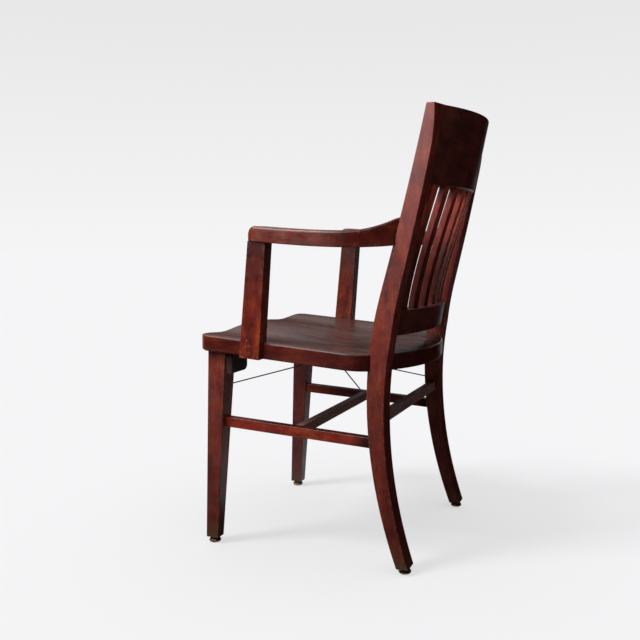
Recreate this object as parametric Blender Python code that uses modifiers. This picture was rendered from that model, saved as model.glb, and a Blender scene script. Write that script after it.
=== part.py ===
"""All-wood library armchair: saddle seat, swept rear posts, slatted back and wire-braced legs.

Metres, +Z up. The sitter faces -Y, so left pieces are at +X. The origin is on the floor, in the middle of
the chair's footprint box.
"""

import math

import bmesh
import bpy
from mathutils import Matrix, Vector

# Fits
FIT = 0.0003  # gap kept between two pieces that touch

# Whole chair
OVERALL_HEIGHT = 0.890
FOOTPRINT_FRONT_Y = -0.2663  # the seat's front edge, at its middle

# Seat
SEAT_HEIGHT = 0.450  # top of the front edge
SEAT_WIDTH = 0.500
SEAT_DEPTH = 0.440
SEAT_THICK = 0.033
SEAT_TILT = math.radians(4.0)
SEAT_FRONT_BOW = 0.006
SEAT_FRONT_CORNER = 0.020
SEAT_REAR_CORNER = 0.060
SEAT_REAR_RADIUS = 0.390
SEAT_TOP_ROUND = 0.006
SEAT_BOTTOM_CHAMFER = 0.003
DISH_DEPTH = 0.011  # hip hollow, towards the rear
LEG_SCOOP_DEPTH = 0.0065  # one for each thigh, open at the front edge
LEG_SCOOP_X = 0.150
LEG_SCOOP_HALF_WIDTH = 0.058
LEG_SCOOP_REACH = 0.60  # how far back it fades, as a share of the seat's depth
HOLLOW_HALF_WIDTH = 0.160
HOLLOW_PLACE = 0.58  # deepest point and fade, as shares of the seat's depth
HOLLOW_REACH = 0.25
POMMEL_RISE = 0.002  # ridge between the scoops
POMMEL_HALF_WIDTH = 0.060
POMMEL_REACH = 0.30

# Rear posts, sawn from plank to one side profile
POST_THICK = 0.040
POST_FOOT_INSET = 0.0185  # outer face at the floor, in from the seat's side
POST_LEAN = 0.0193  # inward shift of the post for each metre of height
POST_WAIST_Z = 0.350  # height of the foremost point of the front edge
POST_SETBACK = 0.0775  # foremost point, ahead of the seat's rearmost point
POST_FOOT_SWEEP = 0.069
POST_BEND_LENGTH = 0.190  # from the waist up to where the back is straight
BACK_LEAN = 0.258  # rearward shift of the back for each metre of height
POST_EASE_LENGTH = 0.270  # top stretch that curves forward of that slope
POST_EASE = 0.0073
POST_FOOT_DEPTH = 0.0235
POST_SEAT_DEPTH = 0.0393
POST_TOP_DEPTH = 0.0255
POST_ROLL_LENGTH = 0.090  # top stretch whose outer rear edge rolls forward
POST_ROLL = 0.010
POST_EDGE = 0.0025

# Back
LOWER_RAIL_END_THICK = 0.024
RAIL_MID_THICK = 0.0432
BACK_FRONT_RADIUS = 0.800
RAIL_INSET = 0.001  # rail front behind the post's front face
CREST_HEIGHT = 0.1445
LOWER_RAIL_HEIGHT = 0.049
LOWER_RAIL_GAP = 0.036  # above the seat's rear edge
RAIL_EDGE = 0.004
RAIL_TENON_THICK = 0.010
RAIL_TENON_LENGTH = 0.022
CREST_TENON_HEIGHT = 0.100
LOWER_RAIL_TENON_HEIGHT = 0.032
SLAT_COUNT = 6
SLAT_WIDTH = 0.023
SLAT_THICK = 0.0135
SLAT_FOOT_SETBACK = 0.0105  # slat front behind the lower rail's front
SLAT_HEAD_SETBACK = 0.016  # and behind the crest's
SLAT_BOW = 0.0055  # how far a slat is bent forward between its ends
SLAT_BOW_PLACE = 0.70  # below 1 the bend lies in the lower half
SLAT_END_GAP = 0.334  # even spacing's gap beside a post, as a share of the gap between slats
SLAT_CROWDING = 0.0735  # how much nearer the middle an end slat stands than even spacing puts it
SLAT_TENON = 0.012
SLAT_EDGE = 0.002

# Front legs, straight on the outer and front faces and tapered on the other two
LEG_TOP_WIDTH = 0.045
LEG_TOP_DEPTH = 0.040
LEG_FOOT_WIDTH = 0.025
LEG_FOOT_DEPTH = 0.028
LEG_INSET_SIDE = 0.0165  # top outer face, in from the seat's side
LEG_INSET_FRONT = 0.0125  # top front face, behind the seat's front corner
LEG_FOOT_IN = 0.008  # foot outer face, in from the top's
LEG_FOOT_AHEAD = 0.0155  # foot front face, ahead of the top's
LEG_EDGE = 0.0022
LEG_TENON_RADIUS = 0.0125
LEG_TENON_LENGTH = 0.019

# Arms and arm posts
ARM_RISE = 0.220  # front of the arm's top, above the seat's front edge
ARM_FRONT_SETBACK = 0.1325  # arm's front end, behind the seat's front edge
ARM_FRONT_THICK = 0.030
ARM_WIDTH = 0.056
ARM_REAR_WIDTH = 0.037
ARM_TOP_DIP = 0.0097
ARM_BOTTOM_DIP = 0.0115
ARM_REAR_RISE = 0.0245
ARM_REAR_DROP = 0.005
ARM_TOP_TURN = 0.70  # lowest point of the top, as a share of the arm's length
ARM_BOTTOM_TURN = 0.75
ARM_OUTER_TURN = 0.50  # where the outer side starts to curve in
ARM_INNER_TURN = 0.35
ARM_EDGE = 0.006
ARM_NOSE = 0.011  # rounding of the front end's top edge
ARM_NOSE_SIDE = 0.004  # rounding of its upright edges
ARM_OVERHANG = 0.005  # arm outside the arm post
ARM_TENON = (0.014, 0.020, 0.026)
ARM_POST_THICK = 0.031
ARM_POST_HOUSING = 0.014  # let into the seat's side
ARM_POST_SETBACK = 0.1088  # bottom front edge, behind the seat's front edge
ARM_POST_BOTTOM_DEPTH = 0.043
ARM_POST_TOP_DEPTH = 0.038
ARM_POST_LEAN = 0.095
ARM_POST_EDGE = 0.002
ARM_DOWEL_RADIUS = 0.008
ARM_DOWEL_LENGTH = 0.016

# Stretchers
SIDE_STRETCHER_FRONT_Z = 0.2632
SIDE_STRETCHER_REAR_Z = 0.2497
SIDE_STRETCHER_HEIGHT = 0.0205
SIDE_STRETCHER_THICK = 0.019
SIDE_STRETCHER_SETBACK = 0.003  # inner face, out from the front leg's inner face
CROSS_BAR_HEIGHT = 0.020
CROSS_BAR_THICK = 0.016
CROSS_STRETCHER_BACK = 0.208  # behind the seat's front edge
REAR_STRETCHER_Z = 0.2955
STRETCHER_EDGE = 0.002
STRETCHER_TENON_THICK = 0.009
STRETCHER_TENON_HEIGHT = 0.013
STRETCHER_TENON_LENGTH = 0.020
CROSS_TENON_LENGTH = 0.010

# Corner blocks under the seat, behind the front legs
BLOCK_LENGTH = 0.067
BLOCK_HEIGHT = 0.043
BLOCK_THICK = 0.014
BLOCK_INSET = 0.003  # outer end, in from the leg's outer face
BLOCK_CORNER = 0.012

# Wire bracing
WIRE_RADIUS = 0.0013
WIRE_FRONT_DROP = 0.108  # where a front wire enters the leg, below the seat's front edge
WIRE_REAR_DROP = 0.132  # and a rear wire the post
WIRE_SOCKET = 0.012
WIRE_BEND = 0.004
HUB_BACK = 0.206  # behind the seat's front edge
HUB_DROP = 0.021  # plate underside below the seat
HUB_PLATE_RADIUS = 0.018
HUB_PLATE_THICK = 0.003
HUB_NECK_RADIUS = 0.007
HUB_HOOK_RADIUS = 0.0125
HOOK_STUB = 0.003

# Glides
GLIDE_RADIUS = 0.0125
GLIDE_SOLE_RADIUS = 0.0085
GLIDE_BASE_HEIGHT = 0.007
GLIDE_DOME = 0.60  # domed share of that height
GLIDE_CUSHION_RADIUS = 0.0102
GLIDE_CUSHION_HEIGHT = 0.005
GLIDE_NAIL_RADIUS = 0.002
GLIDE_NAIL_LENGTH = 0.018

# Fasteners
SCREW_RADIUS = 0.00225
SCREW_HEAD_RADIUS = 0.0043
SCREW_HEAD_HEIGHT = 0.003
SCREW_BITE = 0.018  # length in the far piece
PLUG_RADIUS = 0.0048
PLUG_LENGTH = 0.006
ARM_SCREW_SPACING = 0.014
BLOCK_SCREW_SPACING = 0.040
DOWEL_RADIUS = 0.005
DOWEL_HALF_LENGTH = 0.020
DOWEL_SPACING = 0.014
DOWEL_PLACE = 0.42  # behind the post's front face, as a share of its depth

# Fineness of curved surfaces
ROUND_SIDES = 16
SMALL_SIDES = 10
PROFILE_STEPS = 11
SLAT_STEPS = 8
SADDLE_RINGS = (0.08, 0.17, 0.28, 0.40, 0.54, 0.69, 0.85)
SMOOTH_ANGLE = math.radians(35)
WELD = 0.00001

# Derived places
LEFT = 1
RIGHT = -1
SIDES = {"left": LEFT, "right": RIGHT}
SEAT_SLOPE = math.tan(SEAT_TILT)
SEAT_FRONT_Y = FOOTPRINT_FRONT_Y + SEAT_FRONT_BOW
SEAT_REAR_Y = FOOTPRINT_FRONT_Y + SEAT_DEPTH
GLIDE_HEIGHT = GLIDE_BASE_HEIGHT + GLIDE_CUSHION_HEIGHT
WAIST_Y = SEAT_REAR_Y - POST_SETBACK
CREST_BOTTOM_Z = OVERALL_HEIGHT - CREST_HEIGHT
WIRE_FRONT_Z = SEAT_HEIGHT - WIRE_FRONT_DROP
WIRE_REAR_Z = SEAT_HEIGHT - WIRE_REAR_DROP
ARM_TOP_Z = SEAT_HEIGHT + ARM_RISE
ARM_FRONT_Y = FOOTPRINT_FRONT_Y + ARM_FRONT_SETBACK
CROSS_Y = FOOTPRINT_FRONT_Y + CROSS_STRETCHER_BACK
HUB_Y = FOOTPRINT_FRONT_Y + HUB_BACK

# Colours
RED_STAIN = (0.155, 0.040, 0.024)
DARK_STAIN = (0.110, 0.030, 0.019)
SEAT_STAIN = (0.175, 0.062, 0.040)
BLOCK_WOOD = (0.060, 0.040, 0.030)
STEEL = (0.20, 0.19, 0.18)
GLIDE_METAL = (0.22, 0.18, 0.13)
RUBBER = (0.030, 0.024, 0.020)
DOWEL_WOOD = (0.45, 0.30, 0.17)


def seat_top_z(y):
    """Height of the seat's rim plane."""
    return SEAT_HEIGHT - (y - SEAT_FRONT_Y) * SEAT_SLOPE


def seat_bottom_z(y):
    return seat_top_z(y) - SEAT_THICK


LOWER_RAIL_BOTTOM_Z = seat_top_z(SEAT_REAR_Y) + LOWER_RAIL_GAP
LOWER_RAIL_TOP_Z = LOWER_RAIL_BOTTOM_Z + LOWER_RAIL_HEIGHT
LEG_TOP_Z = seat_bottom_z(SEAT_FRONT_Y + LEG_INSET_FRONT)


def post_front_y(z):
    """Front edge of the rear post: swept foot, bend at the seat, slope that eases upright at the top."""
    if z < POST_WAIST_Z:
        return WAIST_Y + POST_FOOT_SWEEP * (1 - z / POST_WAIST_Z) ** 2
    bend = min(z - POST_WAIST_Z, POST_BEND_LENGTH)
    straight = z - POST_WAIST_Z - bend
    ease = max(0.0, z - OVERALL_HEIGHT + POST_EASE_LENGTH) / POST_EASE_LENGTH
    return WAIST_Y + BACK_LEAN * (bend ** 2 / (2 * POST_BEND_LENGTH) + straight) - POST_EASE * ease ** 2


def post_depth(z):
    """Depth of the post at its inner face, deepest at the seat."""
    if z < SEAT_HEIGHT:
        return POST_FOOT_DEPTH + (POST_SEAT_DEPTH - POST_FOOT_DEPTH) * z / SEAT_HEIGHT
    rise = (z - SEAT_HEIGHT) / (OVERALL_HEIGHT - SEAT_HEIGHT)
    return POST_SEAT_DEPTH + (POST_TOP_DEPTH - POST_SEAT_DEPTH) * rise


def post_rear_y(z):
    return post_front_y(z) + post_depth(z)


def post_outer_rear_y(z):
    """Rear edge of the outer face. It rolls forward at the top, so the rear turns with the crest's back."""
    roll = max(0.0, z - OVERALL_HEIGHT + POST_ROLL_LENGTH) / POST_ROLL_LENGTH
    return post_rear_y(z) - POST_ROLL * roll ** 2


def post_outer_x(z):
    return SEAT_WIDTH / 2 - POST_FOOT_INSET - POST_LEAN * z


def post_inner_x(z):
    return post_outer_x(z) - POST_THICK


def leg_fraction(z):
    """0 at the top of the front leg and 1 at its foot."""
    return (LEG_TOP_Z - z) / (LEG_TOP_Z - GLIDE_HEIGHT)


def leg_outer_x(z):
    return SEAT_WIDTH / 2 - LEG_INSET_SIDE - LEG_FOOT_IN * leg_fraction(z)


def leg_inner_x(z):
    return leg_outer_x(z) - LEG_TOP_WIDTH - (LEG_FOOT_WIDTH - LEG_TOP_WIDTH) * leg_fraction(z)


def leg_front_y(z):
    return SEAT_FRONT_Y + LEG_INSET_FRONT - LEG_FOOT_AHEAD * leg_fraction(z)


def leg_rear_y(z):
    return leg_front_y(z) + LEG_TOP_DEPTH + (LEG_FOOT_DEPTH - LEG_TOP_DEPTH) * leg_fraction(z)


def back_sag(x, radius, z):
    """How far an arc that starts at the posts' inner faces has gone back by x."""
    half = post_inner_x(z)
    return math.sqrt(radius ** 2 - min(abs(x), half) ** 2) - math.sqrt(radius ** 2 - half ** 2)


def back_front_y(x, z):
    """Front surface of the rails: an arc between the posts' front faces."""
    return post_front_y(z) + RAIL_INSET + back_sag(x, BACK_FRONT_RADIUS, z)


def crest_end_thick(z):
    """The crest's ends are sanded flush with the posts' rear faces."""
    return post_depth(z) - 2 * RAIL_INSET


def lower_rail_end_thick(z):
    return LOWER_RAIL_END_THICK


def rail_thickness(share, end_thick):
    """Thickness of a rail, at a share of the way from its middle to its end."""
    return RAIL_MID_THICK - (RAIL_MID_THICK - end_thick) * share ** 2


def arm_rear_y(z):
    return post_front_y(z) - FIT


ARM_LENGTH = arm_rear_y(ARM_TOP_Z) - ARM_FRONT_Y
ARM_POST_INNER_X = SEAT_WIDTH / 2 - ARM_POST_HOUSING
ARM_POST_OUTER_X = ARM_POST_INNER_X + ARM_POST_THICK


def arm_share(y):
    return (y - ARM_FRONT_Y) / ARM_LENGTH


def eased(share, start):
    """Quarter sine that reaches 1 at start and stays there."""
    return math.sin(math.pi / 2 * min(share / start, 1.0))


def late(share, start):
    """0 up to start, then a parabola that reaches 1 at the end."""
    return (max(0.0, share - start) / (1 - start)) ** 2


def arm_top_z(y):
    share = arm_share(y)
    return ARM_TOP_Z - ARM_TOP_DIP * eased(share, ARM_TOP_TURN) + ARM_REAR_RISE * late(share, ARM_TOP_TURN)


def arm_bottom_z(y):
    share = arm_share(y)
    dip = ARM_BOTTOM_DIP * eased(share, ARM_BOTTOM_TURN) - ARM_REAR_DROP * late(share, ARM_BOTTOM_TURN)
    return ARM_TOP_Z - ARM_FRONT_THICK - dip


def arm_outer_x(y):
    front = ARM_POST_OUTER_X + ARM_OVERHANG
    rear = post_outer_x(ARM_TOP_Z)
    return front - (front - rear) * late(arm_share(y), ARM_OUTER_TURN)


def arm_inner_x(y):
    front = ARM_POST_OUTER_X + ARM_OVERHANG - ARM_WIDTH
    rear = post_outer_x(ARM_TOP_Z) - ARM_REAR_WIDTH
    return front - (front - rear) * late(arm_share(y), ARM_INNER_TURN)


def arm_post_front_y(z):
    return FOOTPRINT_FRONT_Y + ARM_POST_SETBACK + ARM_POST_LEAN * (z - SEAT_HEIGHT + SEAT_THICK)


def arm_post_depth(z):
    share = (z - SEAT_HEIGHT) / ARM_RISE
    return ARM_POST_BOTTOM_DEPTH + (ARM_POST_TOP_DEPTH - ARM_POST_BOTTOM_DEPTH) * share


def side_stretcher_z(y):
    """Middle height of the side stretchers, which slope down to the rear."""
    front = leg_rear_y(SIDE_STRETCHER_FRONT_Z)
    rear = post_front_y(SIDE_STRETCHER_REAR_Z)
    share = (y - front) / (rear - front)
    return SIDE_STRETCHER_FRONT_Z + (SIDE_STRETCHER_REAR_Z - SIDE_STRETCHER_FRONT_Z) * share


SIDE_STRETCHER_INNER_X = leg_inner_x(SIDE_STRETCHER_FRONT_Z) + SIDE_STRETCHER_SETBACK
SIDE_STRETCHER_X = SIDE_STRETCHER_INNER_X + SIDE_STRETCHER_THICK / 2


# Scene helpers

def clear_scene():
    for old in list(bpy.data.objects):
        bpy.data.objects.remove(old, do_unlink=True)


def new_collection(name):
    made = bpy.data.collections.new(name)
    bpy.context.scene.collection.children.link(made)
    return made


def new_material(name, colour, roughness, metallic):
    made = bpy.data.materials.new(name)
    made.use_nodes = True
    shader = made.node_tree.nodes["Principled BSDF"]
    shader.inputs["Base Color"].default_value = (*colour, 1.0)
    shader.inputs["Roughness"].default_value = roughness
    shader.inputs["Metallic"].default_value = metallic
    return made


class Workshop:
    """The two collections that the pieces and the cutters go into."""

    def __init__(self):
        self.parts = new_collection("library_chair")
        self.cutters = new_collection("cutters")
        self.root = bpy.data.objects.new("library_chair_root", None)
        self.parts.objects.link(self.root)

    def part(self, name, mesh, colour, roughness=0.35, metallic=0.0):
        made = bpy.data.objects.new(name, mesh)
        mesh.name = name
        mesh.materials.append(new_material(name, colour, roughness, metallic))
        made.location = mesh_middle(mesh)
        mesh.transform(Matrix.Translation(-made.location))
        made.parent = self.root
        self.parts.objects.link(made)
        return made

    def cutter(self, name, *meshes):
        made = bpy.data.objects.new(name, joined(*meshes))
        made.hide_render = True
        made.display_type = "WIRE"
        self.cutters.objects.link(made)
        return made


def add_bevel(piece, width, segments=2):
    bevel = piece.modifiers.new("rounded edges", "BEVEL")
    bevel.width = width
    bevel.segments = segments
    bevel.limit_method = "ANGLE"
    bevel.angle_limit = math.radians(40)


def add_boolean(piece, other, operation):
    boolean = piece.modifiers.new(other.name, "BOOLEAN")
    boolean.object = other
    boolean.operation = operation
    boolean.solver = "EXACT"


def cut(piece, other):
    add_boolean(piece, other, "DIFFERENCE")


def fuse(piece, other):
    add_boolean(piece, other, "UNION")


# Mesh helpers

def finished(bm, name):
    """Mesh from a bmesh, welded, faces out, round faces smooth."""
    bmesh.ops.remove_doubles(bm, verts=bm.verts, dist=WELD)
    bmesh.ops.recalc_face_normals(bm, faces=bm.faces)
    mesh = bpy.data.meshes.new(name)
    bm.to_mesh(mesh)
    bm.free()
    mesh.shade_smooth()
    mesh.set_sharp_from_angle(angle=SMOOTH_ANGLE)
    return mesh


def evaluated_mesh(data):
    """Mesh of a curve, or of a mesh with modifiers, as Blender evaluates it."""
    holder = data if isinstance(data, bpy.types.Object) else bpy.data.objects.new("holder", data)
    bpy.context.scene.collection.objects.link(holder)
    graph = bpy.context.evaluated_depsgraph_get()
    mesh = bpy.data.meshes.new_from_object(holder.evaluated_get(graph))
    bpy.data.objects.remove(holder, do_unlink=True)
    bm = bmesh.new()
    bm.from_mesh(mesh)
    bpy.data.meshes.remove(mesh)
    return bm


def mesh_middle(mesh):
    """Middle of a mesh's box, where its object's origin goes."""
    corners = [vert.co for vert in mesh.vertices]
    low = Vector([min(co[axis] for co in corners) for axis in range(3)])
    high = Vector([max(co[axis] for co in corners) for axis in range(3)])
    return (low + high) / 2


def joined(*meshes):
    """One mesh that holds several separate solids."""
    bm = bmesh.new()
    for mesh in meshes:
        bm.from_mesh(mesh)
    return finished(bm, "joined")


def moved(mesh, matrix):
    mesh.transform(matrix)
    if matrix.determinant() < 0:
        mesh.flip_normals()
    return mesh


def on_side(mesh, side):
    """The mesh as built on the left, or mirrored to the right."""
    return mesh if side == LEFT else moved(mesh, Matrix.Scale(-1, 4, (1, 0, 0)))


def box(low, high):
    """Box between two corners."""
    bm = bmesh.new()
    bmesh.ops.create_cube(bm, size=1.0)
    low, high = Vector(low), Vector(high)
    place = Matrix.Translation((low + high) / 2) @ Matrix.Diagonal((*(high - low), 1.0))
    bmesh.ops.transform(bm, matrix=place, verts=bm.verts)
    return finished(bm, "box")


def block(centre, size, grow=0.0, tilt=0.0):
    """Box by centre and size, grown on every side and leaned back by tilt."""
    half = Vector(size) / 2 + Vector((grow, grow, grow))
    return moved(box(-half, half), Matrix.Translation(centre) @ Matrix.Rotation(-tilt, 4, "X"))


def rod(start, end, radius, sides=ROUND_SIDES):
    """Cylinder between two points."""
    start, end = Vector(start), Vector(end)
    bm = bmesh.new()
    bmesh.ops.create_cone(bm, cap_ends=True, segments=sides, radius1=radius, radius2=radius,
                          depth=(end - start).length)
    turn = (end - start).to_track_quat("Z", "Y").to_matrix().to_4x4()
    bmesh.ops.transform(bm, matrix=Matrix.Translation((start + end) / 2) @ turn, verts=bm.verts)
    return finished(bm, "rod")


def extruded_outline(points, thickness, matrix):
    """Closed outline in the XY plane, filled, thickened both ways and placed by matrix."""
    curve = bpy.data.curves.new("outline", "CURVE")
    curve.dimensions = "2D"
    curve.fill_mode = "BOTH"
    curve.extrude = thickness / 2
    spline = curve.splines.new("POLY")
    spline.points.add(len(points) - 1)
    for point, (x, y) in zip(spline.points, points):
        point.co = (x, y, 0, 1)
    spline.use_cyclic_u = True
    bm = evaluated_mesh(curve)
    bpy.data.curves.remove(curve)
    bmesh.ops.remove_doubles(bm, verts=bm.verts, dist=WELD)
    bmesh.ops.dissolve_limit(bm, angle_limit=math.radians(0.02), verts=bm.verts, edges=bm.edges)
    bmesh.ops.transform(bm, matrix=matrix, verts=bm.verts)
    return finished(bm, "extruded")


def tube(points, radius):
    """Wire along points, with closed ends."""
    curve = bpy.data.curves.new("wire", "CURVE")
    curve.dimensions = "3D"
    curve.bevel_depth = radius
    curve.bevel_resolution = 2
    curve.use_fill_caps = True
    spline = curve.splines.new("POLY")
    spline.points.add(len(points) - 1)
    for point, place in zip(spline.points, points):
        point.co = (*place, 1)
    bm = evaluated_mesh(curve)
    bpy.data.curves.remove(curve)
    return finished(bm, "tube")


def turned(profile, sides, closed=False):
    """Profile of (radius, height) pairs, from the top down its outer side, turned about Z."""
    mesh = bpy.data.meshes.new("profile")
    edges = [(i, i + 1) for i in range(len(profile) - 1)]
    if closed:
        edges.append((len(profile) - 1, 0))
    mesh.from_pydata([(radius, 0, z) for radius, z in profile], edges, [])
    holder = bpy.data.objects.new("turned", mesh)
    screw = holder.modifiers.new("turn", "SCREW")
    screw.steps = sides
    screw.render_steps = sides
    screw.use_merge_vertices = True
    screw.merge_threshold = WELD
    bm = evaluated_mesh(holder)
    bpy.data.meshes.remove(mesh)
    return finished(bm, "turned")


def loft(rings):
    """Closed solid through rings of as many points each, with flat ends."""
    bm = bmesh.new()
    rows = [[bm.verts.new(point) for point in ring] for ring in rings]
    count = len(rows[0])
    for low, high in zip(rows, rows[1:]):
        for i in range(count):
            j = (i + 1) % count
            bm.faces.new((low[i], low[j], high[j], high[i]))
    bm.faces.new(reversed(rows[0]))
    bm.faces.new(rows[-1])
    return finished(bm, "loft")


def rounded_section(low_u, high_u, low_v, high_v, radius, steps=2):
    """Rectangle with round corners, as (u, v) pairs."""
    corners = ((high_u, high_v, 0), (low_u, high_v, 90), (low_u, low_v, 180), (high_u, low_v, 270))
    points = []
    for u, v, start in corners:
        centre_u = u - math.copysign(radius, u - (low_u + high_u) / 2)
        centre_v = v - math.copysign(radius, v - (low_v + high_v) / 2)
        for step in range(steps + 1):
            angle = math.radians(start + 90 * step / steps)
            points.append((centre_u + radius * math.cos(angle), centre_v + radius * math.sin(angle)))
    return points


def steps_between(start, end, count):
    return [start + (end - start) * i / count for i in range(count + 1)]


# Seat

def seat_outline():
    """Half of the outline, from the middle of the front edge round to the middle of the rear."""
    half = SEAT_WIDTH / 2
    corner_x = half - SEAT_FRONT_CORNER
    points = [(x, SEAT_FRONT_Y - SEAT_FRONT_BOW * (1 - (x / corner_x) ** 2))
              for x in steps_between(0, corner_x, 7)]
    points += arc_points(corner_x, SEAT_FRONT_Y + SEAT_FRONT_CORNER, SEAT_FRONT_CORNER, -90, 0, 6)[1:]
    arc_y = SEAT_REAR_Y - SEAT_REAR_RADIUS
    fillet_x = half - SEAT_REAR_CORNER
    fillet_y = arc_y + math.sqrt((SEAT_REAR_RADIUS - SEAT_REAR_CORNER) ** 2 - fillet_x ** 2)
    turn = math.degrees(math.atan2(fillet_y - arc_y, fillet_x))
    points += [(half, y) for y in steps_between(points[-1][1], fillet_y, 6)[1:-1]]
    points += arc_points(fillet_x, fillet_y, SEAT_REAR_CORNER, 0, turn, 5)
    points += arc_points(0, arc_y, SEAT_REAR_RADIUS, turn, 90, 9)[1:]
    return points


def arc_points(x, y, radius, start, end, count):
    angles = [math.radians(angle) for angle in steps_between(start, end, count)]
    return [(x + radius * math.cos(angle), y + radius * math.sin(angle)) for angle in angles]


def bump(distance, width):
    """Smooth hump that is 1 in its middle and fades over width."""
    return math.exp(-(distance / width) ** 2)


def saddle(x, y):
    """Height of the carved top above the rim plane: thigh scoops, hip hollow and pommel."""
    back = (y - FOOTPRINT_FRONT_Y) / SEAT_DEPTH
    across = min(1.0, abs(x) / (SEAT_WIDTH / 2))
    rim = (1 - across ** 4) * (1 - max(0.0, back) ** 6)
    scoop = bump(abs(x) - LEG_SCOOP_X, LEG_SCOOP_HALF_WIDTH) * bump(back, LEG_SCOOP_REACH)
    hollow = bump(x, HOLLOW_HALF_WIDTH) * bump(back - HOLLOW_PLACE, HOLLOW_REACH)
    pommel = bump(x, POMMEL_HALF_WIDTH) * bump(back, POMMEL_REACH)
    return (POMMEL_RISE * pommel - LEG_SCOOP_DEPTH * scoop - DISH_DEPTH * hollow) * rim


def seat_mesh():
    """Saddle seat as a loft of its outline, from the underside up over the edge to the middle."""
    half = seat_outline()
    outline = half + [(-x, y) for x, y in reversed(half[1:-1])]
    middle_y = (FOOTPRINT_FRONT_Y + SEAT_REAR_Y) / 2
    reach = SEAT_WIDTH / 2

    def ring(inset, height):
        scale = 1 - inset / reach
        flat = [(x * scale, middle_y + (y - middle_y) * scale) for x, y in outline]
        return [(x, y, height(x, y)) for x, y in flat]

    def below(drop):
        return lambda x, y: seat_top_z(y) + min(0.0, saddle(x, y)) - drop

    def underside(rise):
        return lambda x, y: seat_bottom_z(y) + rise

    def carved(x, y):
        return seat_top_z(y) + saddle(x, y)

    rings = [ring(SEAT_BOTTOM_CHAMFER, underside(0.0)), ring(0.0, underside(SEAT_BOTTOM_CHAMFER))]
    for angle in steps_between(0, math.pi / 2, 3)[:-1]:
        inset = SEAT_TOP_ROUND * (1 - math.cos(angle))
        rings.append(ring(inset, below(SEAT_TOP_ROUND * (1 - math.sin(angle)))))
    rings.append(ring(SEAT_TOP_ROUND, carved))
    for share in SADDLE_RINGS:
        rings.append(ring(reach * share, carved))
    return loft(rings)


# Back

def post_mesh(grow=0.0):
    """Rear post sawn to its side profile and leaned inwards. Grown, it cuts its own seat in a neighbour."""
    heights = steps_between(GLIDE_HEIGHT, POST_WAIST_Z, PROFILE_STEPS)
    heights += steps_between(POST_WAIST_Z, OVERALL_HEIGHT, PROFILE_STEPS + 3)[1:]
    rings = []
    for z in heights:
        outer, inner = post_outer_x(z) + grow, post_inner_x(z) - grow
        front = post_front_y(z) - grow
        rings.append([(inner, front, z), (outer, front, z),
                      (outer, post_outer_rear_y(z) + grow, z), (inner, post_rear_y(z) + grow, z)])
    return loft(rings)


def rail_mesh(bottom, top, end_thick):
    """Curved rail between the posts, thicker in the middle, with level edges."""
    return loft([rail_ring(share, bottom, top, end_thick) for share in steps_between(-1, 1, 16)])


def rail_ring(share, bottom, top, end_thick):
    """Section of a rail at a share of the way from the middle to the left end."""
    middle = (bottom + top) / 2
    x = post_inner_x(middle) * abs(share)
    ring = []
    for depth, z in rounded_section(0, RAIL_MID_THICK, bottom, top, RAIL_EDGE):
        slim = rail_thickness(abs(share), end_thick(z)) / RAIL_MID_THICK
        ring.append(((post_inner_x(z) - FIT) * share, back_front_y(x, z) + depth * slim, z))
    return ring


def rail_tenon(side, middle, height, end_thick, grow=0.0):
    """Tenon of a rail, in the post's inner face."""
    inner = post_inner_x(middle)
    centre_y = back_front_y(inner, middle) + end_thick(middle) / 2
    root = RAIL_TENON_LENGTH / 2
    centre = (inner + (RAIL_TENON_LENGTH - root) / 2, centre_y, middle)
    size = (RAIL_TENON_LENGTH + root, RAIL_TENON_THICK, height)
    return on_side(block(centre, size, grow, rail_tilt(middle)), side)


def rail_tilt(z):
    step = 0.01
    return math.atan2(post_front_y(z + step) - post_front_y(z - step), 2 * step)


def slat_x(index):
    """Middle of a slat, half way up. Towards the posts the slats stand a little closer."""
    span = 2 * post_inner_x((LOWER_RAIL_TOP_Z + CREST_BOTTOM_Z) / 2)
    gap = (span - SLAT_COUNT * SLAT_WIDTH) / (SLAT_COUNT - 1 + 2 * SLAT_END_GAP)
    last = (SLAT_COUNT - 1) / 2
    part = (last - index) / last
    return (gap + SLAT_WIDTH) * last * part * (1 - SLAT_CROWDING * part ** 2)


def slat_front_y(x, z):
    """Front edge of the slat at x, from the lower rail to the crest, bent forward in between."""
    foot = back_front_y(x, LOWER_RAIL_TOP_Z) + SLAT_FOOT_SETBACK
    head = back_front_y(x, CREST_BOTTOM_Z) + SLAT_HEAD_SETBACK
    share = (z - LOWER_RAIL_TOP_Z) / (CREST_BOTTOM_Z - LOWER_RAIL_TOP_Z)
    bow = SLAT_BOW * math.sin(math.pi * min(1.0, max(0.0, share)) ** SLAT_BOW_PLACE)
    return foot + (head - foot) * share - bow


def slat_mesh(index, grow=0.0):
    """Bent slat that leans back square to the curve of the rails, so the slats fan out upwards."""
    x = slat_x(index)
    low = LOWER_RAIL_TOP_Z - SLAT_TENON - grow
    high = CREST_BOTTOM_Z + SLAT_TENON + grow
    heights = [low] + steps_between(LOWER_RAIL_TOP_Z, CREST_BOTTOM_Z, SLAT_STEPS) + [high]
    front = [(slat_front_y(x, z) - grow, z) for z in heights]
    rear = [(slat_front_y(x, z) + SLAT_THICK + grow, z) for z in reversed(heights)]
    upright = Matrix(((0, 0, 1, 0), (1, 0, 0, 0), (0, 1, 0, 0), (0, 0, 0, 1)))
    pivot = Vector((0, slat_front_y(x, (low + high) / 2), 0))
    turn = Matrix.Rotation(-math.asin(x / BACK_FRONT_RADIUS), 4, "Z")
    place = Matrix.Translation(pivot + Vector((x, 0, 0))) @ turn @ Matrix.Translation(-pivot)
    return extruded_outline(front + rear, SLAT_WIDTH + 2 * grow, place @ upright)


# Legs, arms and stretchers

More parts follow.
